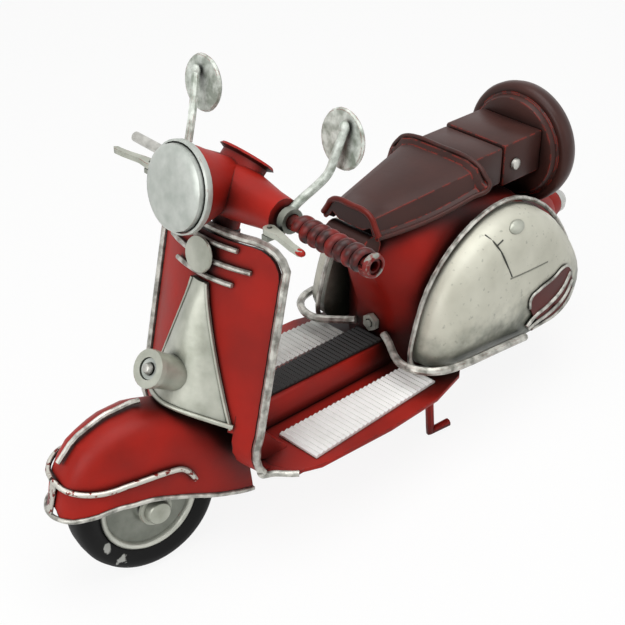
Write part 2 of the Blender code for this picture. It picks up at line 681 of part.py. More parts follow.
def build_cowls():
    back = BODY_HALF + GAP
    for side, sign in SIDES:
        rings = [cowl_outline(scale, sign * (back + COWL_DEPTH * share)) for share, scale in COWL_LAYERS]
        add("cowl_" + side, lofted("cowl_" + side, rings), SILVER, stance)
        path = cowl_outline(1.05, sign * (back + 0.0014))
        tube("cowl_trim_" + side, path, COWL_TRIM_RADIUS, SILVER, stance, True, 1)
        rail = [(-0.0337, 0.0082, 0.0580), (-0.0320, 0.0130, 0.0566), (-0.0257, 0.0240, 0.0552),
                (-0.0257, 0.0330, 0.0550), (-0.0320, 0.0410, 0.0550), (-0.0440, 0.0443, 0.0545),
                (-0.0680, 0.0450, 0.0530), (-0.0860, 0.0446, 0.0510)]
        path = smooth_path([(x, y * sign, z) for x, y, z in rail])
        tube("bumper_rail_" + side, path, RAIL_RADIUS, SILVER, stance)


def saddle_ring(x, half, top, skirt):
    under = max(table(BODY_TOP, min(x, -0.048)) + 2 * GAP, top - 0.0090)
    right = [
        (0.0, top), (half * 0.62, top - 0.0003), (half * 0.86, top - 0.0022), (half, top - skirt + 0.0022),
        (half + 0.0022, top - skirt + 0.0012), (half + 0.0022, top - skirt), (half - 0.0010, top - skirt),
        (half - 0.0028, top - 0.0065), (half * 0.5, under),
    ]
    ring = right + [(0.0, under)] + [(-y, z) for y, z in reversed(right[1:])]
    return [(x, y, z) for y, z in ring]


def build_saddle():
    rings = []
    stations = [(0, 0.0012), (0.04, 0), (0.2, 0), (0.4, 0), (0.6, 0), (0.8, 0), (0.94, 0)]
    stations += [(0.965, 0.0018), (1, 0.0018)]
    for t, lip in stations:
        x = SADDLE_NOSE + (SADDLE_REAR - SADDLE_NOSE) * t
        half = SADDLE_NOSE_HALF + (SADDLE_REAR_HALF - SADDLE_NOSE_HALF) * t + lip
        skirt = 0.0080 + (SADDLE_SKIRT - 0.0080) * math.sin(math.pi * min(1, 0.12 + t * 0.75))
        rings.append(saddle_ring(x, half, 0.1205 + 0.0085 * t + lip, skirt))
    add("saddle", lofted("saddle", rings), BROWN, stance)
    reach = Vector((0, 0.0115, 0))
    middle = Vector((-0.0208, 0, 0.1058))
    add("saddle_roll", rod("saddle_roll", middle - reach, middle + reach, 0.0052, 16), BROWN, stance)


def build_box():
    front = SADDLE_REAR - GAP * 2
    low = (BOX_SEAM + GAP, -BOX_HALF, BOX_BOTTOM)
    soften(add("pillion_box_front", box("f", low, (front, BOX_HALF, BOX_TOP - 0.001)), BROWN, stance), 0.0012)
    low = (BOX_REAR, -BOX_HALF - 0.0006, BOX_BOTTOM - 0.0014)
    soften(add("pillion_box_rear", box("r", low, (BOX_SEAM, BOX_HALF + 0.0006, BOX_TOP)), BROWN, stance), 0.0012)
    for side, sign in SIDES:
        seat = Vector((-0.1040, sign * (BOX_HALF + 0.0006 + GAP), 0.1195))
        head = [(0, 0), (0.0027, 0), (0.0024, 0.0012), (0.0012, 0.0018), (0, 0.0019)]
        add("box_screw_" + side, turned("box_screw", head, seat, (0, sign, 0), 14), STEEL, stance)
    back = BOX_REAR - GAP
    cover = [
        (0, 0), (COVER_RIDGE - 0.0020, 0), (COVER_RIDGE, -0.0008), (COVER_RIDGE + 0.0008, -0.0030),
        (COVER_RADIUS - 0.0020, -0.0034), (COVER_RADIUS, -0.0056), (COVER_RADIUS - 0.0006, -0.0105),
        (COVER_RADIUS - 0.0050, -COVER_DEPTH), (0, -COVER_DEPTH),
    ]
    centre = Vector((back, 0, COVER_Z))
    add("spare_wheel_cover", turned("spare_wheel_cover", cover, centre, (1, 0, 0), SEG), BROWN, stance)


def build_tail_lamp():
    start = Vector((BODY_REAR - GAP, 0, table(BODY_TOP, BODY_REAR) - 0.0078))
    housing = [(0, 0), (0.0074, 0), (0.0070, 0.0060), (0.0062, 0.0085), (0, 0.0085)]
    add("tail_lamp", turned("tail_lamp", housing, start, (-1, 0, 0), 20), RED, stance)
    lens = [(0, 0), (0.0060, 0), (0.0060, 0.0030), (0.0045, 0.0055), (0.0020, 0.0066), (0, 0.0068)]
    start = start - Vector((0.0085 + GAP, 0, 0))
    add("tail_lamp_lens", turned("tail_lamp_lens", lens, start, (-1, 0, 0), 20), SILVER, stance)


def build_stand():
    wire = 0.0019
    foot = STAND_PIVOT + Vector((-0.003, -0.0005, 0))
    foot.z = ground_z(foot.x) + wire + 0.0002
    toe = foot + Vector((-0.0105, 0.0015, 0))
    toe.z = ground_z(toe.x) + wire + 0.0002
    path = [STAND_PIVOT + Vector((0, -0.0050, 0)), STAND_PIVOT + Vector((0, -0.0018, 0)), STAND_PIVOT]
    path += [STAND_PIVOT + Vector((-0.0006, -0.0002, -0.0035)), foot + Vector((0, 0, 0.0030)), foot, toe]
    tube("side_stand", path, wire, RED, stand_swing)
    near, far = STAND_PIVOT.y - 0.0068, STAND_PIVOT.y - 0.0035
    top = FLOOR_TOP - FLOOR_THICK - GAP
    low = (STAND_PIVOT.x - 0.004, near, STAND_PIVOT.z - 0.0036)
    lug = add("stand_lug", box("stand_lug", low, (STAND_PIVOT.x + 0.004, far, top)), RED, stance, False)
    reach = Vector((0, 0.01, 0))
    bore = rod("lug_bore", STAND_PIVOT - reach, STAND_PIVOT + reach, wire + RUN)
    combine(lug, add("lug_bore", bore, RED, stance), "DIFFERENCE")


def build_headset():
    across = Vector((BAR_X, 0, BAR_Z))
    arm = [(0.0, HEADSET_RADIUS), (0.008, 0.0104), (0.017, 0.0090), (0.025, 0.0077), (ARM_HALF, ARM_END_RADIUS)]
    right = [(r, -a) for a, r in reversed(arm)]
    left = [(r, a) for a, r in arm[1:]]
    profile = [(0, -ARM_HALF)] + right + left + [(0, ARM_HALF)]
    headset = add("headset", turned("headset", profile, across, (0, 1, 0), 24), RED, bar)
    axis = Vector((math.cos(LAMP_TILT), 0, math.sin(LAMP_TILT)))
    depth = 0.0215
    start = LAMP_CENTRE - axis * (depth + 0.0035)
    cone = [(0, 0), (0.0090, 0), (0.0120, depth * 0.45), (0.0150, depth * 0.8), (0.0166, depth), (0, depth)]
    combine(headset, add("lamp_cone", turned("lamp_cone", cone, start, axis, 28), RED, bar), "UNION")
    neck = turned(
        "neck", [(0, 0), (0.0053, 0), (0.0056, 0.0045), (0.0075, 0.013), (0, 0.013)],
        steer_point(NECK_LENGTH), STEER_AXIS, 20,
    )
    combine(headset, add("neck", neck, RED, bar), "UNION")
    face = HEADSET_RADIUS + 0.0022
    plate = [(0, 0), (0.0066, 0), (0.0066, face - 0.0010), (0.0082, face), (0.0076, face + 0.0010)]
    plate += [(0.0064, face + 0.0010), (0.0060, face + 0.0003), (0, face + 0.0003)]
    pod = turned("pod", plate, across, (-1, 0, 1.04), 24)
    for vertex in pod.vertices:
        vertex.co.y *= 1.75
    combine(headset, add("pod", pod, RED, bar), "UNION")
    seat = LAMP_CENTRE - axis * (0.0035 - GAP)
    rim = [(0, 0), (LAMP_RADIUS - 0.0004, 0), (LAMP_RADIUS, 0.0006), (LAMP_RADIUS, 0.0026)]
    rim += [(LAMP_RADIUS - 0.0008, 0.0030), (LAMP_RADIUS - 0.0010, 0.0022), (0, 0.0022)]
    add("headlamp_rim", turned("headlamp_rim", rim, seat, axis, 36), SILVER, bar)
    clear = LAMP_RADIUS - 0.0015
    lens = [(0, 0), (clear, 0), (clear, 0.0026), (clear - 0.0014, 0.0036), (clear - 0.0045, 0.0042), (0, 0.0045)]
    place = seat + axis * (0.0022 + GAP)
    add("headlamp_lens", turned("headlamp_lens", lens, place, axis, 36), SILVER, bar)


def build_grips():
    centre = Vector((BAR_X, 0, BAR_Z))
    core = [
        (0.0019, GRIP_END - 0.008), (0.0019, GRIP_END), (GRIP_CORE_RADIUS, GRIP_END),
        (GRIP_CORE_RADIUS, ARM_HALF + GAP), (0, ARM_HALF + GAP), (0, GRIP_END - 0.008),
    ]
    add("bar_left", turned("bar_left", core, centre, (0, 1, 0), 18), STEEL, bar)
    around = GRIP_CORE_RADIUS + GAP + GRIP_WIRE + 0.0001
    path = []
    for k in range(GRIP_TURNS * 24 + 1):
        turn = math.tau * k / 24
        y = GRIP_START + GRIP_PITCH * k / 24
        path.append(centre + Vector((around * math.cos(turn), y, around * math.sin(turn))))
    least = min(
        (path[i] - path[j]).length for i in range(len(path)) for j in range(i + 13, len(path))
    ) - 2 * GRIP_WIRE
    print("grip winding: least gap to itself %.2f mm" % (least * 1000))
    tube("grip_wrap_left", path, GRIP_WIRE, RED, bar, False, 1)
    end = Vector((BAR_X, -ARM_HALF - BARE_BAR_LENGTH, BAR_Z))
    start = Vector((BAR_X, -ARM_HALF - GAP, BAR_Z))
    add("bar_right", rod("bar_right", start, end, BARE_BAR_RADIUS, 14), STEEL, bar)


def build_levers():
    pin_radius, eye_radius, half = 0.0007, 0.0024, 0.0016
    for side, sign in SIDES:
        pivot = mirrored(LEVER_PIVOT, sign)
        inner = (GRIP_CORE_RADIUS if sign > 0 else BARE_BAR_RADIUS) + GAP
        outer = GRIP_CORE_RADIUS + 0.0020
        ring = [(inner, -half), (outer, -half), (outer, half), (inner, half)]
        middle = Vector((BAR_X, pivot.y, BAR_Z))
        perch = add("lever_perch_" + side, turned("lever_perch", ring, middle, (0, 1, 0), 18), SILVER, bar)
        low = (BAR_X + GRIP_CORE_RADIUS + 0.0008, pivot.y - half, pivot.z - LEVER_THICK - 0.0012)
        high = (pivot.x + eye_radius, pivot.y + half, pivot.z - LEVER_THICK / 2 - GAP)
        combine(perch, add("perch_arm_" + side, box("perch_arm", low, high), SILVER, bar), "UNION")
        foot = pivot - Vector((0, 0, LEVER_THICK + 0.0004))
        pin = rod("pin", foot, pivot + Vector((0, 0, LEVER_THICK / 2 + 0.0006)), pin_radius, 10)
        combine(perch, add("lever_pin_" + side, pin, SILVER, bar), "UNION")
        turns = [math.pi * k / 8 for k in range(9)]
        outline = [(eye_radius * math.cos(t), -eye_radius * math.sin(t)) for t in turns]
        outline += [(-0.0012, 0.0060), (0.0010, 0.0150), (0.0016, 0.0205)]
        outline += [(0.0030, 0.0215), (0.0038, 0.0200), (0.0034, 0.0150), (0.0018, 0.0060)]

        def place(u, v, w, pivot=pivot, sign=sign):
            return pivot + Vector((u, sign * v, w - LEVER_THICK / 2))

        lever = add("lever_" + side, prism("lever", outline, LEVER_THICK, place), SILVER, lever_pull[side])
        reach = Vector((0, 0, 0.01))
        bore = rod("lever_bore", pivot - reach, pivot + reach, pin_radius + RUN, 10)
        combine(lever, add("lever_bore_" + side, bore, SILVER, lever_pull[side]), "DIFFERENCE")


def build_mirrors():
    wires = {
        "left": [(-0.0072, -0.0010, -0.0031), (-0.0129, 0.0033, 0.0028), (-0.0165, 0.0050, 0.0070),
                 (-0.0188, 0.0062, 0.0140), (-0.0223, 0.0075, 0.0240)],
        "right": [(-0.0033, -0.0040, 0.0004), (-0.0066, -0.0020, 0.0078), (-0.0094, 0.0005, 0.0125),
                  (-0.0130, 0.0040, 0.0180), (-0.0163, 0.0075, 0.0230)],
    }
    backs = {"left": Vector((-0.0031, -0.0038, -0.0065)), "right": Vector((-0.0032, -0.0014, -0.0055))}
    root = Vector((BAR_X, ARM_HALF, BAR_Z + ARM_END_RADIUS))
    for side, sign in SIDES:
        bends = [root + Vector(bend) for bend in wires[side]]
        path = smooth_path([mirrored(spot, sign) for spot in bends])
        tube("mirror_stem_" + side, path, STEM_WIRE, SILVER, bar)
        middle = mirrored(bends[-1] + backs[side], sign)
        disc = [(0, 0), (MIRROR_RADIUS - 0.0006, 0), (MIRROR_RADIUS, MIRROR_THICK / 2),
                (MIRROR_RADIUS - 0.0006, MIRROR_THICK), (0, MIRROR_THICK)]
        add("mirror_" + side, turned("mirror", disc, middle, (1, 0, 0.12), 28), SILVER, bar)


def settle():
    """Lets the model down on both tyres, then puts the origin on the ground below the rear axle."""
    angle = TAIL_DOWN
    for _ in range(3):
        turn = Matrix.Rotation(-angle, 3, "Y")
        stance.rotation_quaternion = turn.to_quaternion()
        rear_turn.rotation_quaternion = Matrix.Rotation(angle - TAIL_DOWN, 3, "Y").to_quaternion()
        stance.location = Vector((0, 0, 0)) - turn @ REAR_AXLE
        bpy.context.view_layer.update()
        lows = []
        for name in ("front_tyre", "rear_tyre"):
            tyre = bpy.data.objects[name]
            lows.append(min((tyre.matrix_world @ v.co).z for v in tyre.data.vertices))
        angle -= math.atan2(lows[0] - lows[1], WHEELBASE)
    stance.location.z -= lows[1]
    bpy.context.view_layer.update()


build_wheel("front", FRONT_AXLE, front_turn, steering, 0.0145)
build_wheel("rear", REAR_AXLE, rear_turn, stance, 0.0220)
build_floor()
build_shield()
build_horn()
build_badge()
build_column()
build_fork()
build_guard()
build_body()
build_cowls()
build_saddle()
build_box()
build_tail_lamp()
build_stand()
build_headset()
build_grips()
build_levers()
build_mirrors()
settle()
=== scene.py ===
import math

import bmesh
import bpy
from mathutils import Matrix, Vector


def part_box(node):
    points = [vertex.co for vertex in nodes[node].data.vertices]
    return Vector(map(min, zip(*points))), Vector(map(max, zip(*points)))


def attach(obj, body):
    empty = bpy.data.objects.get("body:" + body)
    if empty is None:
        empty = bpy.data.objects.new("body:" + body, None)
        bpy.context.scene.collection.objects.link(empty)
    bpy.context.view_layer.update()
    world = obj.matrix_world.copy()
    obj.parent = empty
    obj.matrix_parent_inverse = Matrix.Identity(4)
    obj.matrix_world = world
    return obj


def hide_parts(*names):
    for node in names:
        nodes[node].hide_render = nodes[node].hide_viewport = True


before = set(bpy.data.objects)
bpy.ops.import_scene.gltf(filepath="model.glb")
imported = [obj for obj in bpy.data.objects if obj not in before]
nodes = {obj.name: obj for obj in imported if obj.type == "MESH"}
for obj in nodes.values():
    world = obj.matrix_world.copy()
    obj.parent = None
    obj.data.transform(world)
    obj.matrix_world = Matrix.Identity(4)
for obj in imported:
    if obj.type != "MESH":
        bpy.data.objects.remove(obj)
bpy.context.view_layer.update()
print("frame loaded:", len(nodes), "nodes")

# The scooter stands tail down, so places read off the level floor board go through these turns
stance = {"tailDown": math.radians(4.126), "shift": (0.103668, 0.0, -0.006263)}
# The bar sits a little straighter on the steering axis than the wheel does, in degrees from dead ahead
steer = {"top": (0.04498, 0.0, 0.150), "rake": math.radians(12.0), "wheel": -10.6, "bar": -4.5}
sides = {"left": 1, "right": -1}

toWorld = Matrix.Translation(stance["shift"]) @ Matrix.Rotation(-stance["tailDown"], 4, "Y")
steerTop = Vector(steer["top"])
steerAxis = Vector((-math.sin(steer["rake"]), 0, math.cos(steer["rake"])))


def steered(degrees):
    turn = Matrix.Rotation(math.radians(degrees), 4, steerAxis)
    return toWorld @ Matrix.Translation(steerTop) @ turn @ Matrix.Translation(-steerTop)


onFrame = toWorld
onFork = steered(steer["wheel"])
onBar = steered(steer["bar"])


# An sRGB hex value as the linear colour that shaders take
def hexColour(text):
    parts = [int(text[i:i + 2], 16) / 255 for i in (1, 3, 5)]
    return tuple(p / 12.92 if p <= 0.04045 else ((p + 0.055) / 1.055) ** 2.4 for p in parts) + (1.0,)


# Sockets go by name, or by number where names repeat, as on the colour mix: 6 and 7 in, 2 out
def addNode(tree, kind, links=None, **settings):
    node = tree.nodes.new(kind)
    for key, value in settings.items():
        setattr(node, key, value)
    for socket, source in (links or {}).items():
        if isinstance(source, bpy.types.NodeSocket):
            tree.links.new(source, node.inputs[socket])
        else:
            node.inputs[socket].default_value = source
    return node


def newMaterial(name):
    made = bpy.data.materials.new(name)
    made.use_nodes = True
    tree = made.node_tree
    return made, tree, tree.nodes["Principled BSDF"]


# Texture scale for a pattern of this many millimetres
def perMm(size):
    return 1000.0 / size


# What all sprayed finishes share. Orange peel is finer on real paint: it is drawn coarse enough to show
spray = {
    "cloudDetail": 4.0, "chipDetail": 6.0, "chipFade": 0.06, "occlusionShadeSamples": 8, "edgeSamples": 6,
    "flat": 0.985, "folded": 0.88, "glossFrom": 0.3, "glossTo": 0.7, "smoother": 0.05, "rougher": 0.07,
    "peelMm": 2.5, "peelDetail": 3.0, "peelDepth": 0.0004,
}


# Enamel sprayed on tin, then washed with thin black: cloudy over the flats, darker in the corners
# and chipped through along the folds. The darkening follows ambient occlusion, so it is painted shade as well
# as wash
def enamel(name, look):
    made, tree, shader = newMaterial(name)
    where = addNode(tree, "ShaderNodeTexCoord").outputs["Object"]
    cloud = addNode(tree, "ShaderNodeTexNoise", {
        "Vector": where, "Scale": perMm(look["cloudMm"]), "Detail": spray["cloudDetail"],
    })
    patch = addNode(tree, "ShaderNodeMapRange", {
        "Value": cloud.outputs["Fac"], "From Min": look["patchLow"], "From Max": look["patchHigh"],
    })
    body = addNode(tree, "ShaderNodeMix", {
        "Factor": patch.outputs["Result"], 6: hexColour(look["deep"]), 7: hexColour(look["bright"]),
    }, data_type="RGBA")
    # Painted shade: ambient occlusion darkens the corners, creases and faces tucked under other parts, on top
    # of the black wash
    corner = addNode(tree, "ShaderNodeAmbientOcclusion", {
        "Distance": look["washAndShadeMm"] / 1000,
    }, samples=spray["occlusionShadeSamples"])
    washAndShade = addNode(tree, "ShaderNodeMapRange", {
        "Value": corner.outputs["AO"], "From Min": look["washAndShadeFrom"], "From Max": look["washAndShadeTo"],
    }, interpolation_type="SMOOTHSTEP")
    washedAndShaded = addNode(tree, "ShaderNodeMix", {
        "Factor": washAndShade.outputs["Result"], 6: hexColour(look["washAndShade"]), 7: body.outputs[2],
    }, data_type="RGBA")
    soft = addNode(tree, "ShaderNodeBevel", {"Radius": look["edgeMm"] / 1000}, samples=spray["edgeSamples"])
    flat = addNode(tree, "ShaderNodeNewGeometry")
    facing = addNode(tree, "ShaderNodeVectorMath", {
        0: soft.outputs["Normal"], 1: flat.outputs["Normal"],
    }, operation="DOT_PRODUCT")
    chips = addNode(tree, "ShaderNodeTexNoise", {
        "Vector": where, "Scale": perMm(look["chipMm"]), "Detail": spray["chipDetail"],
    })
    fold = addNode(tree, "ShaderNodeMapRange", {
        "Value": facing.outputs["Value"], "From Min": spray["flat"], "From Max": spray["folded"],
    })
    bite = addNode(tree, "ShaderNodeMapRange", {
        "Value": chips.outputs["Fac"], "From Min": look["chipFrom"],
        "From Max": look["chipFrom"] + spray["chipFade"],
    })
    worn = addNode(tree, "ShaderNodeMath", {
        0: fold.outputs["Result"], 1: bite.outputs["Result"],
    }, operation="MULTIPLY")
    paint = addNode(tree, "ShaderNodeMix", {
        "Factor": worn.outputs["Value"], 6: washedAndShaded.outputs[2], 7: hexColour(look["worn"]),
    }, data_type="RGBA")
    tree.links.new(paint.outputs[2], shader.inputs["Base Color"])
    gloss = addNode(tree, "ShaderNodeMapRange", {
        "Value": cloud.outputs["Fac"], "From Min": spray["glossFrom"], "From Max": spray["glossTo"],
        "To Min": look["rough"] - spray["smoother"], "To Max": look["rough"] + spray["rougher"],
    })
    tree.links.new(gloss.outputs["Result"], shader.inputs["Roughness"])
    peel = addNode(tree, "ShaderNodeTexNoise", {
        "Vector": where, "Scale": perMm(spray["peelMm"]), "Detail": spray["peelDetail"],
    })
    bump = addNode(tree, "ShaderNodeBump", {
        "Height": peel.outputs["Fac"], "Strength": look["orangePeel"], "Distance": spray["peelDepth"],
    })
    tree.links.new(bump.outputs["Normal"], shader.inputs["Normal"])
    shader.inputs["Metallic"].default_value = look["metal"]
    shader.inputs["Specular IOR Level"].default_value = look["shine"]
    return made


# Cowl skin: cream-silver lacquer, speckled, with grey-green grime brushed along the lower edge
def cowlSkin(name, look, grime):
    made = enamel(name, look)
    tree = made.node_tree
    shader = tree.nodes["Principled BSDF"]
    paint = shader.inputs["Base Color"].links[0].from_socket
    where = addNode(tree, "ShaderNodeTexCoord").outputs["Object"]
    height = addNode(tree, "ShaderNodeSeparateXYZ", {0: where})
    ragged = addNode(tree, "ShaderNodeTexNoise", {
        "Vector": where, "Scale": perMm(grime["raggedMm"]), "Detail": grime["raggedDetail"],
    })
    lifted = addNode(tree, "ShaderNodeMath", {
        0: ragged.outputs["Fac"], 1: grime["raggedRise"], 2: height.outputs["Z"],
    }, operation="MULTIPLY_ADD")
    low = addNode(tree, "ShaderNodeMapRange", {
        "Value": lifted.outputs["Value"], "From Min": grime["clean"], "From Max": grime["thick"],
        "To Max": grime["strength"],
    }, interpolation_type="SMOOTHSTEP")
    dirty = addNode(tree, "ShaderNodeMix", {
        "Factor": low.outputs["Result"], 6: paint, 7: hexColour(grime["colour"]),
    }, data_type="RGBA")
    spots = addNode(tree, "ShaderNodeTexNoise", {
        "Vector": where, "Scale": perMm(grime["speckMm"]), "Detail": grime["speckDetail"],
    })
    speck = addNode(tree, "ShaderNodeMapRange", {
        "Value": spots.outputs["Fac"], "From Min": grime["speckFrom"], "From Max": grime["speckTo"],
        "To Max": grime["speckShow"],
    })
    speckled = addNode(tree, "ShaderNodeMix", {
        "Factor": speck.outputs["Result"], 6: dirty.outputs[2], 7: hexColour(grime["speck"]),
    }, data_type="RGBA")
    tree.links.new(speckled.outputs[2], shader.inputs["Base Color"])
    return made


# Tyre: moulded black rubber, dusty, with pale scuffs rubbed into the wall
def tyreRubber(name, look):
    made, tree, shader = newMaterial(name)
    where = addNode(tree, "ShaderNodeTexCoord").outputs["Object"]
    dust = addNode(tree, "ShaderNodeTexNoise", {
        "Vector": where, "Scale": perMm(look["dustMm"]), "Detail": look["dustDetail"],
    })
    body = addNode(tree, "ShaderNodeMix", {
        "Factor": dust.outputs["Fac"], 6: hexColour(look["deep"]), 7: hexColour(look["bright"]),
    }, data_type="RGBA")
    rub = addNode(tree, "ShaderNodeTexNoise", {
        "Vector": where, "Scale": perMm(look["scuffMm"]), "Detail": look["scuffDetail"],
    })
    paint = body.outputs[2]
    for spot in look["scuffs"]:
        off = addNode(tree, "ShaderNodeVectorMath", {0: where, 1: spot}, operation="DISTANCE")
        ragged = addNode(tree, "ShaderNodeMath", {
            0: rub.outputs["Fac"], 1: look["scuffRagged"], 2: off.outputs["Value"],
        }, operation="MULTIPLY_ADD")
        mark = addNode(tree, "ShaderNodeMapRange", {
            "Value": ragged.outputs["Value"], "From Min": look["scuffReach"],
            "From Max": look["scuffReach"] - look["scuffFade"],
        })
        paint = addNode(tree, "ShaderNodeMix", {
            "Factor": mark.outputs["Result"], 6: paint, 7: hexColour(look["scuff"]),
        }, data_type="RGBA").outputs[2]
    tree.links.new(paint, shader.inputs["Base Color"])
    shader.inputs["Roughness"].default_value = look["rough"]
    shader.inputs["Specular IOR Level"].default_value = look["shine"]
    bump = addNode(tree, "ShaderNodeBump", {
        "Height": dust.outputs["Fac"], "Strength": look["grain"], "Distance": look["grainDepth"],
    })
    tree.links.new(bump.outputs["Normal"], shader.inputs["Normal"])
    return made


# Red enamel: warm and even on the flats, almost black in the folds, where the wash and wide painted shade run
# in
redLook = {
    "bright": "#a91c0f", "deep": "#86180f", "washAndShade": "#240a07", "worn": "#34140f", "cloudMm": 26,
    "patchLow": 0.3, "patchHigh": 0.7, "washAndShadeMm": 24, "washAndShadeFrom": 0.30, "washAndShadeTo": 0.97, "edgeMm": 0.8,
    "chipMm": 4, "chipFrom": 0.48, "rough": 0.46, "orangePeel": 0.10, "metal": 0.0, "shine": 0.22,
}
redEnamel = enamel("redEnamel", redLook)

# Red enamel behind the vent bars: darker and brownish
ventRed = enamel("ventRed", dict(redLook, bright="#611f19", deep="#471713", washAndShadeMm=4))

# Brown enamel over a red undercoat, which shows as bright chips along the rolled edges
brownLook = dict(
    redLook, bright="#472a25", deep="#38201c", washAndShade="#120908", worn="#9c2c1e", washAndShadeMm=10, edgeMm=1.3,
    chipFrom=0.44, rough=0.38,
)
brownEnamel = enamel("brownEnamel", brownLook)

# Brown enamel rubbed through on the saddle's nose: mostly undercoat
saddleWorn = enamel("saddleWornEnamel", dict(brownLook, bright="#8c2418", deep="#561a13", washAndShadeMm=5))

# Grip enamel: dark red, blotched black where hands have dirtied it, and darker between the turns where the
# wash and painted shade gather
gripLook = dict(
    redLook, bright="#74150e", deep="#2b0a07", washAndShade="#0b0303", worn="#9a3024", cloudMm=6, patchLow=0.38,
    patchHigh=0.62, washAndShadeMm=3.5, chipFrom=0.6, rough=0.36, shine=0.3,
)
gripEnamel = enamel("gripEnamel", gripLook)

# Grip enamel worn to grey metal in patches, on the collar
gripWorn = enamel("gripWornEnamel", dict(gripLook, deep="#8b8d85", cloudMm=3, patchLow=0.40, patchHigh=0.5))

# Silver lacquer, antiqued: a grey-green metallic film with black worked into every corner and painted shade
# on top
silverLook = {
    "bright": "#bcbeb2", "deep": "#989b8e", "washAndShade": "#272b25", "worn": "#7e2a20", "cloudMm": 9,
    "patchLow": 0.3, "patchHigh": 0.7, "washAndShadeMm": 5, "washAndShadeFrom": 0.30, "washAndShadeTo": 0.95, "edgeMm": 0.5,
    "chipMm": 5, "chipFrom": 0.60, "rough": 0.36, "orangePeel": 0.22, "metal": 0.45, "shine": 0.5,
}
silverLacquer = enamel("silverLacquer", silverLook)

# Silver lacquer on the mirrors: paler, mottled and rippled, so it gives no clear reflection
mirrorLook = dict(
    silverLook, bright="#dbe1d9", deep="#8d9589", cloudMm=4, patchLow=0.36, patchHigh=0.64, edgeMm=0.8,
    chipFrom=0.47, orangePeel=0.5, metal=0.12,
)
mirrorLacquer = enamel("mirrorLacquer", mirrorLook)

# Silver lacquer on the lamp: pale and nearly even
lampLook = dict(silverLook, bright="#c3c7c1", deep="#a9afa8", cloudMm=6, orangePeel=0.3, metal=0.4)
lampLacquer = enamel("lampLacquer", lampLook)

# The lamp's lacquer in the horn's mouth, clean almost into its corners
hornPale = enamel("hornPaleLacquer", dict(lampLook, washAndShadeMm=0.8))

# Silver lacquer on bent wire: bright and dull by turns along its length, with dark chips
wireLook = dict(
    silverLook, bright="#c6c5bd", deep="#787770", washAndShade="#231b18", cloudMm=4, patchLow=0.34, patchHigh=0.6,
    washAndShadeMm=4, chipFrom=0.52, metal=0.6,
)
wireLacquer = enamel("wireLacquer", wireLook)

# Red paint rubbed off silver wire: sharp-edged flecks of both
rubbedLook = dict(
    wireLook, bright="#c2c0b7", deep="#6d1a12", cloudMm=2.2, patchLow=0.40, patchHigh=0.46, chipFrom=0.7,
)
rubbedSilver = enamel("rubbedSilver", rubbedLook)

# Silver lacquer on the wheel faces, fork and lever perches: painted darker all over as the shade the mudguard
# casts on the wheel, with a heavier wash
shadeDarkenedWheelLacquer = enamel("shadeDarkenedWheelLacquer", dict(
    silverLook, bright="#8f9288", deep="#70746a", washAndShadeMm=8, washAndShadeTo=0.9,
))

# Silver lacquer on the rolled rims: the brightest ring on the wheel
rimLacquer = enamel("rimLacquer", dict(silverLook, bright="#d4d5cb", deep="#b3b6aa", washAndShadeMm=3, chipFrom=0.7))

# Bare turned steel on the horn ball, screws, axles and right bar: bright, dark only in tight corners
steelLook = dict(
    silverLook, bright="#cfcec8", deep="#a5a49e", cloudMm=4, washAndShadeMm=3, chipFrom=0.7, rough=0.34, metal=0.7,
)
bareSteel = enamel("bareSteel", steelLook)

# Zinc-plated nut and stud: a softer, greener shine than the turned steel
nutSteel = enamel("nutSteel", dict(steelLook, bright="#c9ccc2", deep="#a6a99f", washAndShadeMm=1.5, metal=0.35))

# White lacquer on pressed ribs, darker between them with painted shade
whiteMat = enamel("whiteMatLacquer", dict(
    silverLook, bright="#f7f7f5", deep="#efefec", washAndShade="#a5a7a3", worn="#b7b7b2", washAndShadeMm=1.2, washAndShadeFrom=0.1,
    washAndShadeTo=0.5, rough=0.45, metal=0.0,
))

# The same lacquer on the right mat, made greyer all over
greyMat = enamel("greyMatLacquer", dict(
    silverLook, bright="#d9dad6", deep="#c4c5c1", washAndShade="#6c7068", washAndShadeMm=1.6, metal=0.0,
))

# Matt black paint on the tunnel's ribbed strip: soft, with no clear glints
blackMatLook = dict(
    silverLook, bright="#1b1918", deep="#151413", washAndShade="#070606", worn="#4a3a36", rough=0.55, metal=0.0,
    shine=0.35,
)
blackMat = enamel("blackMatPaint", blackMatLook)

# Grime in the seams of the cowl doors: a dark line where it is thick, a pale one where it is thin
seamDark = enamel("seamGrime", dict(blackMatLook, bright="#3b3d36", deep="#2a2b27"))
seamPale = enamel("seamPaleGrime", dict(blackMatLook, bright="#8a8b80", deep="#73756b"))

# Moulded plastic lens of the tail lamp: milky and smoother than the lacquer
lensPlastic = enamel("lensPlastic", dict(silverLook, bright="#dcddd9", deep="#c9cac6", metal=0.1, rough=0.25))

# Cowl lacquer, cream-silver, whose wide wash darkens it as painted shade along with the black
cowlLook = dict(
    silverLook, bright="#d6d5c6", deep="#bcbbab", cloudMm=20, washAndShadeMm=14, washAndShadeFrom=0.25, washAndShadeTo=0.97,
    rough=0.40, orangePeel=0.08, metal=0.2,
)
cowlGrime = {
    "colour": "#3c4338", "clean": 0.077, "thick": 0.050, "strength": 0.95, "raggedMm": 6, "raggedDetail": 6.0,
    "raggedRise": 0.026, "speck": "#74776a", "speckMm": 2.0, "speckDetail": 2.0, "speckFrom": 0.65,
    "speckTo": 0.72, "speckShow": 0.40,
}
cowlLacquer = cowlSkin("cowlLacquer", cowlLook, cowlGrime)

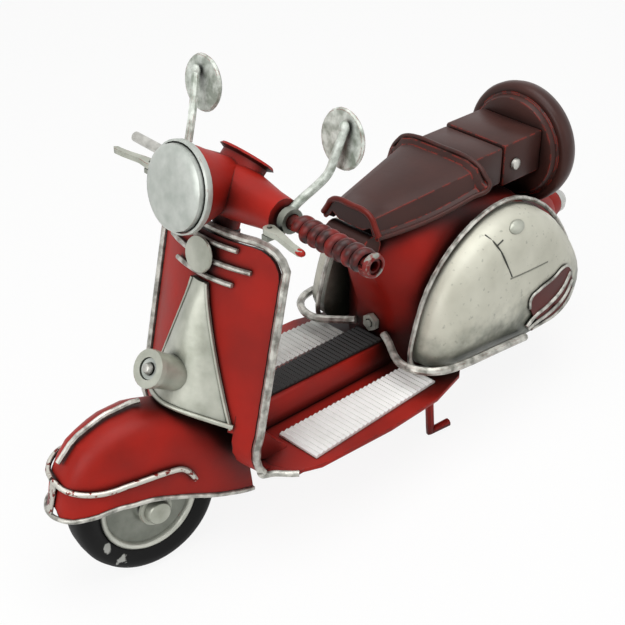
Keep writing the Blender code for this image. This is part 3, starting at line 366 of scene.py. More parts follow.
tyreLook = {
    "bright": "#080808", "deep": "#030303", "dustMm": 6, "dustDetail": 5.0, "rough": 0.6, "shine": 0.2,
    "grain": 0.2, "grainDepth": 0.0004, "scuff": "#b4b5b0", "scuffMm": 3, "scuffDetail": 4.0,
    "scuffRagged": 0.006, "scuffReach": 0.0050, "scuffFade": 0.0006,
    "scuffs": [(0.2147, 0.0012, 0.0201), (0.2098, 0.0025, 0.0117)],
}
tyreBlack = tyreRubber("tyreRubber", tyreLook)

finishes = {
    redEnamel: ["leg_shield", "floor", "floor_tunnel", "steering_column", "rear_body", "tail_lamp",
                "stand_lug", "mudguard", "headset", "side_stand"],
    brownEnamel: ["saddle", "saddle_roll", "pillion_box_front", "pillion_box_rear", "spare_wheel_cover"],
    gripEnamel: ["grip_wrap_left", "bar_left"],
    silverLacquer: ["horn_cover", "badge_disc", "lever_left", "lever_right"],
    shadeDarkenedWheelLacquer: ["lever_perch_left", "lever_perch_right", "front_wheel_disc", "rear_wheel_disc",
                   "front_fork"],
    mirrorLacquer: ["mirror_left", "mirror_right", "mirror_stem_left", "mirror_stem_right"],
    lampLacquer: ["headlamp_rim", "headlamp_lens"],
    wireLacquer: ["shield_trim", "badge_bar_top", "badge_bar_middle", "badge_bar_low", "cowl_trim_left",
                  "cowl_trim_right", "bumper_rail_left", "bumper_rail_right", "mudguard_crest",
                  "mudguard_bar_left", "mudguard_bar_right"],
    nutSteel: ["panel_nut", "panel_stud"],
    bareSteel: ["horn_ball", "box_screw_left", "box_screw_right", "front_axle", "rear_axle", "bar_right"],
    whiteMat: ["floor_mat_left"],
    greyMat: ["floor_mat_right"],
    blackMat: ["centre_mat"],
    lensPlastic: ["tail_lamp_lens"],
    cowlLacquer: ["cowl_left", "cowl_right"],
    tyreBlack: ["front_tyre", "rear_tyre"],
}
for finish, names in finishes.items():
    for name in names:
        slots = nodes[name].data.materials
        slots.clear()
        slots.append(finish)
print("finishes on", sum(len(names) for names in finishes.values()), "nodes")

# Soft shading over the flat CAD facets, with folds sharper than this angle kept crisp
skin = {"fold": math.radians(36), "weldMm": 0.02}
group = bpy.data.node_groups.new("smoothSkin", "GeometryNodeTree")
for way in ("INPUT", "OUTPUT"):
    group.interface.new_socket("Geometry", in_out=way, socket_type="NodeSocketGeometry")
entry = addNode(group, "NodeGroupInput")
weld = addNode(group, "GeometryNodeMergeByDistance", {
    "Geometry": entry.outputs[0], "Distance": skin["weldMm"] / 1000,
})
bare = addNode(group, "GeometryNodeRemoveAttribute", {"Geometry": weld.outputs[0], "Name": "custom_normal"})
flow = addNode(group, "GeometryNodeSetShadeSmooth", {"Geometry": bare.outputs[0], "Shade Smooth": True})
bend = addNode(group, "GeometryNodeInputMeshEdgeAngle")
keen = addNode(group, "FunctionNodeCompare", {
    "A": bend.outputs["Unsigned Angle"], "B": skin["fold"],
}, operation="GREATER_THAN")
crisp = addNode(group, "GeometryNodeSetShadeSmooth", {
    "Geometry": flow.outputs[0], "Selection": keen.outputs[0], "Shade Smooth": False,
}, domain="EDGE")
addNode(group, "NodeGroupOutput", {0: crisp.outputs[0]})
for node in nodes.values():
    node.modifiers.new("smoothSkin", "NODES").node_group = group
print("smooth shading set")


def link(made):
    bpy.context.scene.collection.objects.link(made)


def ready(made, finish, body):
    link(made)
    made.data.materials.append(finish)
    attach(made, body)
    return made


wireMake = {"roundness": 3, "stepsAlong": 5}


def wire(name, points, radius, finish, body):
    line = bpy.data.curves.new(name, "CURVE")
    line.dimensions = "3D"
    line.bevel_depth = radius
    line.bevel_resolution = wireMake["roundness"]
    line.resolution_u = wireMake["stepsAlong"]
    line.use_fill_caps = True
    spline = line.splines.new("BEZIER")
    spline.bezier_points.add(len(points) - 1)
    for spot, point in zip(spline.bezier_points, points):
        spot.co = point
        spot.handle_left_type = "AUTO"
        spot.handle_right_type = "AUTO"
    return ready(bpy.data.objects.new(name, line), finish, body)


solidMake = {"fold": math.radians(40), "poleWeld": 1e-7}


def solid(name, bm, matrix, finish, body):
    bmesh.ops.transform(bm, matrix=matrix, verts=bm.verts)
    bmesh.ops.recalc_face_normals(bm, faces=bm.faces)
    mesh = bpy.data.meshes.new(name)
    bm.to_mesh(mesh)
    bm.free()
    mesh.shade_smooth()
    mesh.set_sharp_from_angle(angle=solidMake["fold"])
    return ready(bpy.data.objects.new(name, mesh), finish, body)


def turnTo(axis):
    return Vector((0, 0, 1)).rotation_difference(Vector(axis).normalized()).to_matrix().to_4x4()


# A profile of (radius, along) points turned round an axis
def spun(profile, at, axis, steps=48):
    bm = bmesh.new()
    points = [bm.verts.new((r, 0, a)) for r, a in profile]
    edges = [bm.edges.new(pair) for pair in zip(points, points[1:])]
    bmesh.ops.spin(
        bm, geom=points + edges, cent=(0, 0, 0), axis=(0, 0, 1), angle=math.tau, steps=steps, use_merge=True,
    )
    bmesh.ops.remove_doubles(bm, verts=bm.verts, dist=solidMake["poleWeld"])
    bmesh.ops.transform(bm, matrix=Matrix.Translation(at) @ turnTo(axis), verts=bm.verts)
    return bm


def slab(corners, thickness):
    bm = bmesh.new()
    face = bm.faces.new([bm.verts.new(corner) for corner in corners])
    grown = bmesh.ops.extrude_face_region(bm, geom=[face], use_keep_orig=True)
    far = [part for part in grown["geom"] if isinstance(part, bmesh.types.BMVert)]
    bmesh.ops.translate(bm, verts=far, vec=thickness)
    return bm


def ball(size, meridians):
    bm = bmesh.new()
    bmesh.ops.create_uvsphere(bm, u_segments=meridians, v_segments=meridians // 2, radius=1.0)
    bmesh.ops.scale(bm, vec=size, verts=bm.verts)
    return bm


# A node's points sorted into rings from its rear to its front
def ringsAlong(node, back, gap, least):
    spots = [back @ nodes[node].matrix_world @ v.co for v in nodes[node].data.vertices]
    spots.sort(key=lambda spot: spot.x)
    rings = [[spots[0]]]
    for spot in spots[1:]:
        if spot.x - rings[-1][-1].x > gap:
            rings.append([])
        rings[-1].append(spot)
    return [ring for ring in rings if len(ring) > least]


# Rolled lower edge of the mudguard, in silver
guardRoll = {"radius": 0.0010, "drop": 0.0004, "nose": 0.0016, "ringGap": 0.0004, "ringLeast": 80}
rings = ringsAlong("mudguard", onFork.inverted(), guardRoll["ringGap"], guardRoll["ringLeast"])
left = [max(ring, key=lambda spot: spot.y) for ring in rings]
right = [min(ring, key=lambda spot: spot.y) for ring in rings]
edge = left + [(left[-1] + right[-1]) / 2 + Vector((guardRoll["nose"], 0, 0))] + right[::-1]
edge = [onFork @ (spot - Vector((0, 0, guardRoll["drop"]))) for spot in edge]
wire("guardRoll", edge, guardRoll["radius"], wireLacquer, "steering")

# Side bars bent from one wire each, meeting at the nose; the right one was bent a little higher
guardBar = {
    "radius": 0.0011,
    "left": [
        (0.1283, 0.0004, 0.0522), (0.1268, 0.0065, 0.0508), (0.1232, 0.0112, 0.0500),
        (0.1180, 0.0142, 0.0494), (0.1118, 0.0160, 0.0493), (0.1054, 0.0170, 0.0499),
        (0.0988, 0.0174, 0.0500), (0.0920, 0.0177, 0.0501), (0.0865, 0.0176, 0.0497),
        (0.0820, 0.0176, 0.0488), (0.0786, 0.0179, 0.0458), (0.0768, 0.0183, 0.0424),
    ],
    "right": [
        (0.1283, -0.0004, 0.0522), (0.1268, -0.0065, 0.0530), (0.1215, -0.0120, 0.0545),
        (0.1135, -0.0160, 0.0538), (0.1087, -0.0174, 0.0526), (0.0988, -0.0176, 0.0512),
        (0.0920, -0.0177, 0.0505), (0.0865, -0.0176, 0.0497), (0.0820, -0.0176, 0.0488),
        (0.0786, -0.0179, 0.0458), (0.0768, -0.0183, 0.0424),
    ],
}
for side in sides:
    path = [onFork @ Vector(spot) for spot in guardBar[side]]
    bar = wire("guardBar_" + side, path, guardBar["radius"], rubbedSilver, "steering")
    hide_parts("mudguard_bar_" + side)

# Upright tab that joins the nose bars to the rolled edge
noseTab = {"at": (0.1292, 0, 0.0450), "size": (0.0012, 0.0044, 0.0142), "lean": math.radians(-14),
           "round": 0.0005, "roundSteps": 2}
bm = bmesh.new()
bmesh.ops.create_cube(bm, size=1.0)
bmesh.ops.scale(bm, vec=noseTab["size"], verts=bm.verts)
bmesh.ops.bevel(
    bm, geom=bm.edges, offset=noseTab["round"], segments=noseTab["roundSteps"], profile=0.5, affect="EDGES",
    material=-1,
)
lean = Matrix.Translation(noseTab["at"]) @ Matrix.Rotation(noseTab["lean"], 4, "Y")
solid("noseTab", bm, onFork @ lean, rubbedSilver, "steering")
print("mudguard trim made")

# The shield's front face leans back as it rises and curves back towards its sides
shield = {"datum": (0.057, 0.130), "slope": 0.203, "setback": 8.56}


def shieldX(y, z):
    x, top = shield["datum"]
    return x + (top - z) * shield["slope"] - shield["setback"] * y * y


# Floor web that rounds off the notch behind the front wheel, the plate that closes the notch's upper
# corner, and the trim's run on round the floor's corner
footWeb = {"low": 0.0424, "thick": 0.0014, "outline": [
    (0.0420, 0.0135), (0.0442, 0.0141), (0.0460, 0.0166), (0.0475, 0.0184), (0.0490, 0.0199),
    (0.0505, 0.0212), (0.0520, 0.0224), (0.0536, 0.0233), (0.0560, 0.0247), (0.0584, 0.0262),
    (0.0584, 0.0337), (0.0556, 0.0343), (0.0532, 0.0363), (0.0506, 0.0391), (0.0482, 0.0411),
    (0.0420, 0.0411),
]}
notchPlate = {"near": 0.0212, "far": 0.0237, "low": 0.0618, "high": 0.0706, "proud": 0.00068, "thick": 0.0012}
notchCorners = [
    (notchPlate["near"], notchPlate["low"]), (notchPlate["far"], notchPlate["low"]),
    (notchPlate["far"], notchPlate["high"]), (notchPlate["near"], notchPlate["high"]),
]
footTrim = {"radius": 0.0013, "path": [
    (0.0624, 0.0340, 0.0470), (0.0612, 0.0339, 0.0450), (0.0586, 0.0337, 0.0437), (0.0556, 0.0343, 0.0431),
    (0.0532, 0.0363, 0.0430), (0.0506, 0.0391, 0.0430), (0.0482, 0.0411, 0.0430),
]}
for side, sign in sides.items():
    corners = [(x, sign * y, footWeb["low"]) for x, y in footWeb["outline"]]
    web = slab(corners, (0, 0, footWeb["thick"]))
    solid("footWeb_" + side, web, onFrame, redEnamel, "frame")
    corners = [(shieldX(y, z) + notchPlate["proud"], sign * y, z) for y, z in notchCorners]
    plate = slab(corners, (-notchPlate["thick"], 0, 0))
    solid("notchPlate_" + side, plate, onFrame, redEnamel, "frame")
    path = [onFrame @ Vector((x, sign * y, z)) for x, y, z in footTrim["path"]]
    wire("footTrim_" + side, path, footTrim["radius"], wireLacquer, "frame")

# Pressed hump that carries the floor up to the shield over the tail of the mudguard. Its rows run from
# back to front: those named in tunnel keep above the tunnel's top, and the outer two follow the floor's bend
footHump = {
    "rear": 0.0405, "low": 0.0443, "top": 0.0716, "curve": 1.25, "sink": 0.0004, "thick": 0.0007, "steps": 14,
    "foot": 0.0254, "half": 0.0243,
    "across": (0.0236, 0.0205, 0.0165, 0.0121, 0.0113, 0.0097, 0.0081, 0.0041, 0.0),
    "tunnel": {0.0113: 0.0474, 0.0097: 0.0508, 0.0081: 0.0532, 0.0041: 0.0532, 0.0: 0.0532},
    "tunnelEnd": 0.0418, "bendStart": 0.0481, "bend": 0.0172, "tuck": 0.0006,
}


def humpPoint(t, y):
    front = shieldX(y, footHump["top"]) - footHump["sink"]
    x = footHump["rear"] + (front - footHump["rear"]) * t
    z = footHump["low"] + (footHump["top"] - footHump["low"]) * t ** footHump["curve"]
    if x > footHump["tunnelEnd"]:
        z = max(z, footHump["tunnel"].get(abs(y), z))
    if abs(y) > footHump["half"]:
        along = min(max(x - footHump["bendStart"], 0.0), footHump["bend"])
        bent = footHump["low"] + footHump["bend"] - math.sqrt(footHump["bend"] ** 2 - along ** 2)
        z = min(z, bent - footHump["tuck"])
    return x, y, z


rows = [-footHump["foot"], -footHump["half"]] + [-y for y in footHump["across"]]
rows += [-y for y in reversed(rows[:-1])]
steps = footHump["steps"]
spans = len(rows) - 1
hump = bmesh.new()
bmesh.ops.create_grid(hump, x_segments=steps, y_segments=spans, size=0.5)  # one unit each way
for vertex in hump.verts:
    step = round((vertex.co.x + 0.5) * steps)
    row = round((vertex.co.y + 0.5) * spans)
    vertex.co = humpPoint(step / steps, rows[row])
bmesh.ops.recalc_face_normals(hump, faces=hump.faces)
bmesh.ops.solidify(hump, geom=hump.faces, thickness=footHump["thick"])

# Round hole that lets the fork's stem turn in the hump
stemHole = {"at": (0.06284, 0, 0.066), "radius": 0.0043, "depth": 0.04, "sides": 32}
lean = Matrix.Translation(stemHole["at"]) @ Matrix.Rotation(-steer["rake"], 4, "Y")
drill = bmesh.new()
bmesh.ops.create_cone(
    drill, cap_ends=True, segments=stemHole["sides"], radius1=stemHole["radius"], radius2=stemHole["radius"],
    depth=stemHole["depth"], matrix=lean,
)
blanks = []
for made in (hump, drill):
    blank = bpy.data.objects.new("stemHoleBlank", bpy.data.meshes.new("stemHoleBlank"))
    made.to_mesh(blank.data)
    link(blank)
    blanks.append(blank)
cut = blanks[0].modifiers.new("stemHole", "BOOLEAN")
cut.operation = "DIFFERENCE"
cut.solver = "EXACT"
cut.object = blanks[1]
pierced = blanks[0].evaluated_get(bpy.context.evaluated_depsgraph_get())
hump.clear()
hump.from_mesh(pierced.data)
drill.free()
for blank in blanks:
    bpy.data.meshes.remove(blank.data)  # takes its object with it
solid("footHump", hump, onFrame, redEnamel, "frame")
print("floor webs, notch plates and hump made")

# Turned lip along the foot of the horn cover, and the fold up each of its sides
hornLip = {"half": 0.0240, "low": 0.0718, "drop": 0.0064, "bulge": 0.0108, "belly": 1.7, "out": 0.0022,
           "radius": 0.0010, "steps": 8}
path = []
for k in range(-hornLip["steps"], hornLip["steps"] + 1):
    u = k / hornLip["steps"]
    y = u * hornLip["half"]
    z = hornLip["low"] - hornLip["drop"] * u * u
    x = shieldX(y, z) + hornLip["out"] + hornLip["bulge"] * (1 - abs(u) ** hornLip["belly"])
    path.append(onFrame @ Vector((x, y, z)))
wire("hornLip", path, hornLip["radius"], silverLacquer, "frame")

hornEdge = {"top": 0.1182, "low": 0.0718, "half": 0.0195, "least": 0.0040, "taper": 1.25, "drop": 0.0075,
            "out": 0.0026, "radius": 0.0006, "steps": 8}
for side, sign in sides.items():
    path = []
    for k in range(hornEdge["steps"] + 1):
        t = k / hornEdge["steps"]
        y = hornEdge["half"] * (1 - t) ** hornEdge["taper"] + hornEdge["least"]
        z = hornEdge["low"] + (hornEdge["top"] - hornEdge["low"]) * t - hornEdge["drop"] * (1 - t) ** 2
        path.append(onFrame @ Vector((shieldX(y, z) + hornEdge["out"], sign * y, z)))
    wire("hornEdge_" + side, path, hornEdge["radius"], silverLacquer, "frame")

# Rolled rim round the back and skirts of the saddle, and the lip on its nose. The hoop's points are
# shares of the half width and drops below the top
saddleRim = {
    "nose": -0.0200, "length": 0.0545, "noseHalf": 0.0125, "spread": 0.0110, "noseTop": 0.1205,
    "rise": 0.0085, "skirt": 0.0080, "sag": 0.0040, "sagFrom": 0.12, "sagRun": 0.75, "flare": 0.0022,
    "tuck": 0.0006, "wallWide": 0.97, "wallDeep": 0.5, "hoop": [(0.86, 0.0022), (0.62, 0.0003), (0, 0)],
    "radius": 0.0011, "backLip": 0.0018, "noseRadius": 0.0013, "noseLip": 0.0012, "steps": 8,
}


# Points from the skirt's foot up to the middle of the top, t of the way from nose to back
def saddleSection(t, lip=0.0):
    x = saddleRim["nose"] - saddleRim["length"] * t
    half = saddleRim["noseHalf"] + saddleRim["spread"] * t + lip
    top = saddleRim["noseTop"] + saddleRim["rise"] * t + lip
    sag = math.sin(math.pi * min(1, saddleRim["sagFrom"] + t * saddleRim["sagRun"]))
    skirt = saddleRim["skirt"] + saddleRim["sag"] * sag
    across = [(half + saddleRim["flare"], skirt - saddleRim["tuck"])]
    across.append((half * saddleRim["wallWide"], skirt * saddleRim["wallDeep"]))
    across += [(half * wide, down) for wide, down in saddleRim["hoop"]]
    return [onFrame @ Vector((x, y, top - down)) for y, down in across]


flip = Matrix.Scale(-1, 4, (0, 1, 0))  # left half to right half


def saddleHoop(t, lip):
    path = saddleSection(t, lip)
    return path + [flip @ spot for spot in reversed(path[:-1])]


skirt = [saddleSection(k / saddleRim["steps"])[0] for k in range(saddleRim["steps"])]
path = skirt + saddleHoop(1.0, saddleRim["backLip"]) + [flip @ spot for spot in reversed(skirt)]
wire("saddleRim", path, saddleRim["radius"], brownEnamel, "frame")
path = saddleHoop(0.0, saddleRim["noseLip"])
wire("saddleNoseLip", path, saddleRim["noseRadius"], saddleWorn, "frame")
print("horn lip and saddle rims made")

cowlOutside = 0.08  # well clear of either cowl's face, to look in from


# Points on a cowl's face, straight out from the body, standing off by lift
def onCowl(side, x, z, lift=0.0):
    node = nodes["cowl_" + side]
    back = node.matrix_world.inverted()
    start = onFrame @ Vector((x, sides[side] * cowlOutside, z))
    spot = node.ray_cast(back @ start, back.to_3x3() @ Vector((0, -sides[side], 0)))[1]
    return node.matrix_world @ spot + Vector((0, sides[side] * lift, 0))


# Seams of the cowl's door, its button, and the vent with its frame and bars
cowlDoor = {
    "radius": 0.00032,
    "upright": [(-0.066, 0.1045), (-0.0672, 0.1022), (-0.0695, 0.0975), (-0.0733, 0.0893), (-0.0758, 0.0842)],
    "level": [(-0.0750, 0.0834), (-0.0780, 0.0832), (-0.0835, 0.0828), (-0.0892, 0.0825), (-0.1008, 0.0819)],
    "tick": [(-0.0684, 0.1005), (-0.0720, 0.1018)],
}
seams = {"upright": seamDark, "level": seamPale, "tick": seamDark}
cowlButton = {"at": (-0.0815, 0.1045), "size": (0.0046, 0.0016, 0.0029), "meridians": 24,
              "tilt": 0.55}  # radians, to lie on the cowl's slope
cowlVent = {"lift": 0.0004, "cuts": 3, "outline": [
    (-0.0892, 0.0634), (-0.0895, 0.0685), (-0.0946, 0.0706), (-0.1049, 0.0724), (-0.1145, 0.0745),
    (-0.1185, 0.0725), (-0.1208, 0.0670), (-0.1215, 0.0610), (-0.1190, 0.0550), (-0.1110, 0.0515),
    (-0.1010, 0.0525), (-0.0930, 0.0570),
]}
ventFrame = {"radius": 0.0007, "lift": 0.0007, "reach": 7}  # reach counts points of the vent's outline
ventBars = {"radius": 0.0010, "lift": 0.0010, "rows": [
    [(-0.0885, 0.0545), (-0.0930, 0.0580), (-0.1022, 0.0602), (-0.1123, 0.0643), (-0.1188, 0.0700)],
    [(-0.0900, 0.0525), (-0.0945, 0.0540), (-0.1060, 0.0559), (-0.1160, 0.0598), (-0.1207, 0.0655)],
    [(-0.0930, 0.0512), (-0.1010, 0.0512), (-0.1110, 0.0518), (-0.1190, 0.0560), (-0.1222, 0.0610)],
]}
for side, sign in sides.items():
    for seam, finish in seams.items():
        path = [onCowl(side, x, z) for x, z in cowlDoor[seam]]
        wire("cowlSeam_%s_%s" % (seam, side), path, cowlDoor["radius"], finish, "frame")
    bm = ball(cowlButton["size"], cowlButton["meridians"])
    tilt = Matrix.Rotation(sign * cowlButton["tilt"], 4, "X")
    seat = Matrix.Translation(onCowl(side, *cowlButton["at"])) @ tilt
    solid("cowlButton_" + side, bm, seat, silverLacquer, "frame")
    bm = bmesh.new()
    bm.faces.new([bm.verts.new((x, 0, z)) for x, z in cowlVent["outline"]])
    bmesh.ops.triangulate(bm, faces=bm.faces)
    bmesh.ops.subdivide_edges(bm, edges=bm.edges, cuts=cowlVent["cuts"])
    for vertex in bm.verts:
        vertex.co = onCowl(side, vertex.co.x, vertex.co.z, cowlVent["lift"])
    bmesh.ops.solidify(bm, geom=bm.faces, thickness=cowlVent["lift"] * 2)
    solid("cowlVent_" + side, bm, Matrix.Identity(4), ventRed, "frame")
    path = [onCowl(side, x, z, ventFrame["lift"]) for x, z in cowlVent["outline"][:ventFrame["reach"]]]
    wire("ventFrame_" + side, path, ventFrame["radius"], wireLacquer, "frame")
    for number, row in enumerate(ventBars["rows"], 1):
        path = [onCowl(side, x, z, ventBars["lift"]) for x, z in row]
        wire("ventBar_%d_%s" % (number, side), path, ventBars["radius"], wireLacquer, "frame")
print("cowl doors, buttons and vents made")

# Stepped caps on the ends of the front axle
wheelAt = {"front": ((0.092, 0, 0.031), onFork), "rear": ((0, 0, 0.030851), Matrix.Identity(4))}
hubCap = {"near": 0.0111, "profile": [
    (0, 0), (0.0068, 0), (0.0072, 0.0006), (0.0068, 0.0016), (0.0052, 0.0018), (0.0050, 0.0042),
    (0.0044, 0.0050), (0, 0.0052),
]}
for side, sign in sides.items():
    at = Vector(wheelAt["front"][0]) + Vector((0, sign * hubCap["near"], 0))
    cap = spun(hubCap["profile"], at, (0, sign, 0))
    solid("hubCap_" + side, cap, onFork, silverLacquer, "steering")

# Round-shouldered tyres on dished wheels, turned finer than the solids
wheel = {
    "steps": 96,
    "tread": [(0.0215, -0.0066), (0.0232, -0.0078), (0.0255, -0.0085), (0.0278, -0.0081), (0.0296, -0.0067),
              (0.0306, -0.0041), (0.03085, 0)],
    "face": [(0.0023, 0.0085), (0.0060, 0.0085), (0.0066, 0.0080), (0.0073, 0.0066), (0.0095, 0.0049),
             (0.0150, 0.0046), (0.0180, 0.0052), (0.0186, 0.0054)],
    "rim": [(0.0184, 0.0040), (0.0187, 0.0064), (0.0194, 0.0074), (0.0203, 0.0077), (0.0210, 0.0072),
            (0.0213, 0.0062)],
}
wheelParts = [
    ("tread", tyreBlack, "tyre", "_tyre"), ("face", shadeDarkenedWheelLacquer, "silver_paint", "_wheel_disc"),
    ("rim", rimLacquer, "silver_paint", None),
]
for end, (at, place) in wheelAt.items():
    for part, finish, slotName, stoodFor in wheelParts:
        half = wheel[part]
        other = [(r, -a) for r, a in reversed(half)]
        loop = half + (other[1:] if part == "tread" else other) + [half[0]]
        turned = spun(loop, at, (0, 1, 0), wheel["steps"])
        piece = solid("%sWheel_%s" % (end, part), turned, place, finish, end + "_wheel")
        if stoodFor:
            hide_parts(end + stoodFor)

# Spare wheel cover: a rolled outer ring, a groove and a raised lid
spare = {"at": (-0.1225, 0, 0.1165), "steps": 96, "profile": [
    (0, 0.0006), (0.0150, 0.0004), (0.0205, 0), (0.0222, -0.0006), (0.0228, -0.0018), (0.0232, -0.0034),
    (0.0240, -0.0039), (0.0252, -0.0036), (0.0265, -0.0038), (0.0275, -0.0048), (0.0280, -0.0064),
    (0.0279, -0.0090), (0.0270, -0.0118), (0.0252, -0.0137), (0.0228, -0.0145), (0, -0.0145),
]}
bm = spun(spare["profile"], spare["at"], (1, 0, 0), spare["steps"])
cover = solid("spareCover", bm, onFrame, brownEnamel, "frame")
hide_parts("spare_wheel_cover")

# Pale ring inside the mouth of the horn
hornMouth = {"axis": (0.0160, 0, 0.0095), "back": 0.0008, "steps": 32, "profile": [
    (0.0025, 0), (0.0041, 0.0003), (0.0041, -0.0004), (0.0025, -0.0004), (0.0025, 0),
]}
low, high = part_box("horn_ball")
middle = onFrame.inverted() @ ((Vector(low) + Vector(high)) / 2)
at = middle - Vector(hornMouth["axis"]).normalized() * hornMouth["back"]
bm = spun(hornMouth["profile"], at, hornMouth["axis"], hornMouth["steps"])
solid("hornMouth", bm, onFrame, hornPale, "frame")
print("hub caps, wheels, spare cover and horn mouth made")

# Centre line of the bar, level and square across the scooter
barLine = {"x": 0.04648, "z": 0.152}


def alongBar(y):
    return Vector((barLine["x"], y, barLine["z"]))


# Blank dial in the pod behind the lamp
dial = {"axis": (-1, 0, 1.04), "up": 0.0134, "wide": 1.75,
        "profile": [(0, 0), (0.0057, 0), (0.0057, 0.0003), (0.0050, 0.0006), (0, 0.0006)]}
at = alongBar(0) + Vector(dial["axis"]).normalized() * dial["up"]
bm = spun(dial["profile"], at, dial["axis"])
bmesh.ops.scale(bm, vec=(1, dial["wide"], 1), verts=bm.verts)
solid("dialFace", bm, onBar, lampLacquer, "steering")

# Red paint left on the tip of the left lever
leverTip = {"at": (0.0582, 0.0565, 0.1510), "size": (0.0015, 0.0024, 0.0013), "meridians": 20}
bm = ball(leverTip["size"], leverTip["meridians"])
solid("leverTip", bm, onBar @ Matrix.Translation(leverTip["at"]), redEnamel, "left_lever")

# Blobs of solder behind the mirrors
solder = {"left": (0.0245, 0.0402, 0.1828), "right": (0.0304, -0.0402, 0.1818),
          "size": (0.0019, 0.0021, 0.0026), "meridians": 20}
for side in sides:
    bm = ball(solder["size"], solder["meridians"])
    seat = onBar @ Matrix.Translation(solder[side])
    solid("solder_" + side, bm, seat, mirrorLacquer, "steering")

# Left mirror's stem, run down into the end of the bar
mirrorStem = {"radius": 0.0017, "path": [
    (0.0462, 0.0345, 0.1535), (0.0428, 0.0338, 0.1548), (0.0388, 0.0338, 0.1570), (0.0336, 0.0363, 0.1618),
    (0.0300, 0.0380, 0.1660), (0.0277, 0.0392, 0.1730), (0.0242, 0.0405, 0.1828),
]}
path = [onBar @ Vector(spot) for spot in mirrorStem["path"]]
stem = wire("mirrorStem_left", path, mirrorStem["radius"], mirrorLacquer, "steering")
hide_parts("mirror_stem_left")

# Worn collar on the open end of the grip
gripCollar = {"at": 0.0800, "profile": [
    (0.0030, 0), (0.0043, 0), (0.0046, 0.0006), (0.0042, 0.0020), (0.0036, 0.0024), (0.0030, 0.0024),
    (0.0030, 0),
]}
bm = spun(gripCollar["profile"], alongBar(gripCollar["at"]), (0, 1, 0))
solid("gripCollar", bm, onBar, gripWorn, "steering")

# Flat strip wound round the left grip, each turn butted on the last
gripStrip = {"from": 0.0435, "turns": 8, "pitch": 0.0045, "perTurn": 40, "section": [
    (0.0031, -0.0019), (0.0036, -0.0021), (0.0042, -0.0016), (0.0047, -0.0008), (0.0048, 0),
    (0.0047, 0.0008), (0.0042, 0.0016), (0.0036, 0.0021), (0.0031, 0.0019),
]}
bm = bmesh.new()
points = [bm.verts.new((r, 0, a)) for r, a in gripStrip["section"]]
edges = [bm.edges.new(pair) for pair in zip(points, points[1:] + points[:1])]
bmesh.ops.spin(
    bm, geom=points + edges, cent=(0, 0, 0), axis=(0, 0, 1), angle=-math.tau * gripStrip["turns"],
    dvec=(0, 0, gripStrip["pitch"] / gripStrip["perTurn"]), steps=gripStrip["turns"] * gripStrip["perTurn"],
)
ends = [edge for edge in bm.edges if edge.is_boundary]
bmesh.ops.holes_fill(bm, edges=ends, sides=len(gripStrip["section"]))
seat = onBar @ Matrix.Translation(alongBar(gripStrip["from"])) @ turnTo((0, 1, 0))
strip = solid("gripStrip", bm, seat, gripEnamel, "steering")
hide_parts("grip_wrap_left")
print("dial, lever tip, solder, mirror stem, collar and grip made")


# True where a ray from the camera, or one that metal or glass sends on, meets the studio
def seenInStudio(tree):
    path = addNode(tree, "ShaderNodeLightPath")
    seen = path.outputs["Is Camera Ray"]
    for way in ("Is Glossy Ray", "Is Transmission Ray"):
        either = addNode(tree, "ShaderNodeMath", {0: seen, 1: path.outputs[way]}, operation="MAXIMUM")
        seen = either.outputs["Value"]
    return seen


# Paper floor: matt and pale, brightened to white except for a share of the shadow
stage = {"floor": "#f4f4f2", "rough": 0.9, "keepShadow": 0.10, "reach": 4.0, "below": 0.0004}
bm = bmesh.new()
bmesh.ops.create_grid(bm, x_segments=1, y_segments=1, size=stage["reach"])
bmesh.ops.translate(bm, verts=bm.verts, vec=(0, 0, -stage["below"]))
floorMesh = bpy.data.meshes.new("studioFloor")
bm.to_mesh(floorMesh)
bm.free()
floorBoard = bpy.data.objects.new("studioFloor", floorMesh)
link(floorBoard)
paper, tree, shader = newMaterial("studioPaper")
shader.inputs["Base Color"].default_value = hexColour(stage["floor"])
shader.inputs["Roughness"].default_value = stage["rough"]
share = addNode(tree, "ShaderNodeMath", {
    0: seenInStudio(tree), 1: 1 - stage["keepShadow"],
}, operation="MULTIPLY")
glow = addNode(tree, "ShaderNodeEmission", {"Color": (1, 1, 1, 1), "Strength": 1.0})
mixed = addNode(tree, "ShaderNodeMixShader", {
    0: share.outputs["Value"], 1: shader.outputs[0], 2: glow.outputs[0],
})
tree.links.new(mixed.outputs[0], tree.nodes["Material Output"].inputs["Surface"])
floorMesh.materials.append(paper)

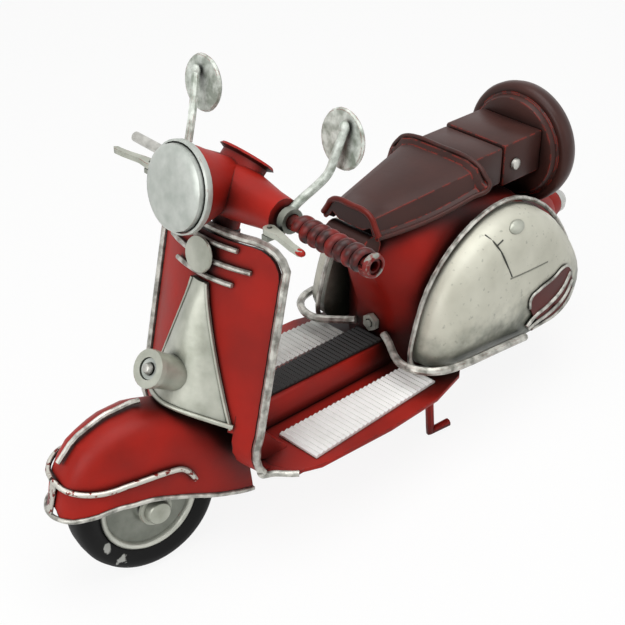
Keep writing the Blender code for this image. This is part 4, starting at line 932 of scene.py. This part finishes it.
# White all round to look at, though it lights the scooter only softly
studio = {"light": 0.18, "seenAs": 1.0}
world = bpy.data.worlds.new("studioWorld")
bpy.context.scene.world = world
world.use_nodes = True
tree = world.node_tree
soft = addNode(tree, "ShaderNodeBackground", {"Color": (1, 1, 1, 1), "Strength": studio["light"]})
white = addNode(tree, "ShaderNodeBackground", {"Color": (1, 1, 1, 1), "Strength": studio["seenAs"]})
mixed = addNode(tree, "ShaderNodeMixShader", {
    0: seenInStudio(tree), 1: soft.outputs[0], 2: white.outputs[0],
})
tree.links.new(mixed.outputs[0], tree.nodes["World Output"].inputs["Surface"])

lamps = {
    "topSoft": {"at": (0.1, 0.1, 0.9), "to": (0.07, 0, 0.08), "size": 0.8, "watts": 6.2},
    "sideSoft": {"at": (0.9, 0.15, 0.55), "to": (0.1, 0, 0.08), "size": 0.6, "watts": 3.8},
    "leftSoft": {"at": (-0.35, 0.85, 0.45), "to": (0.05, 0, 0.07), "size": 0.6, "watts": 0.9},
}
for name, lamp in lamps.items():
    light = bpy.data.lights.new(name, "AREA")
    light.size = lamp["size"]
    light.energy = lamp["watts"]
    holder = bpy.data.objects.new(name, light)
    link(holder)
    holder.location = lamp["at"]
    holder.rotation_euler = (Vector(lamp["to"]) - Vector(lamp["at"])).to_track_quat("-Z", "Y").to_euler()

# Camera where the photograph was taken from
view = {"lens": 88.1, "sensor": 36.0, "at": (0.457921, 0.386620, 0.422118),
        "right": (-0.714696, 0.698331, -0.039292), "up": (-0.409509, -0.372241, 0.832911),
        "back": (0.567021, 0.611368, 0.552011)}
camera = bpy.data.cameras.new("photoCamera")
camera.lens = view["lens"]
camera.sensor_width = view["sensor"]
cameraHolder = bpy.data.objects.new("photoCamera", camera)
link(cameraHolder)
turn = Matrix((view["right"], view["up"], view["back"])).transposed().to_4x4()
cameraHolder.matrix_world = Matrix.Translation(view["at"]) @ turn
bpy.context.scene.camera = cameraHolder
bpy.context.scene.view_settings.view_transform = "Standard"
print("stage, lamps and camera set")
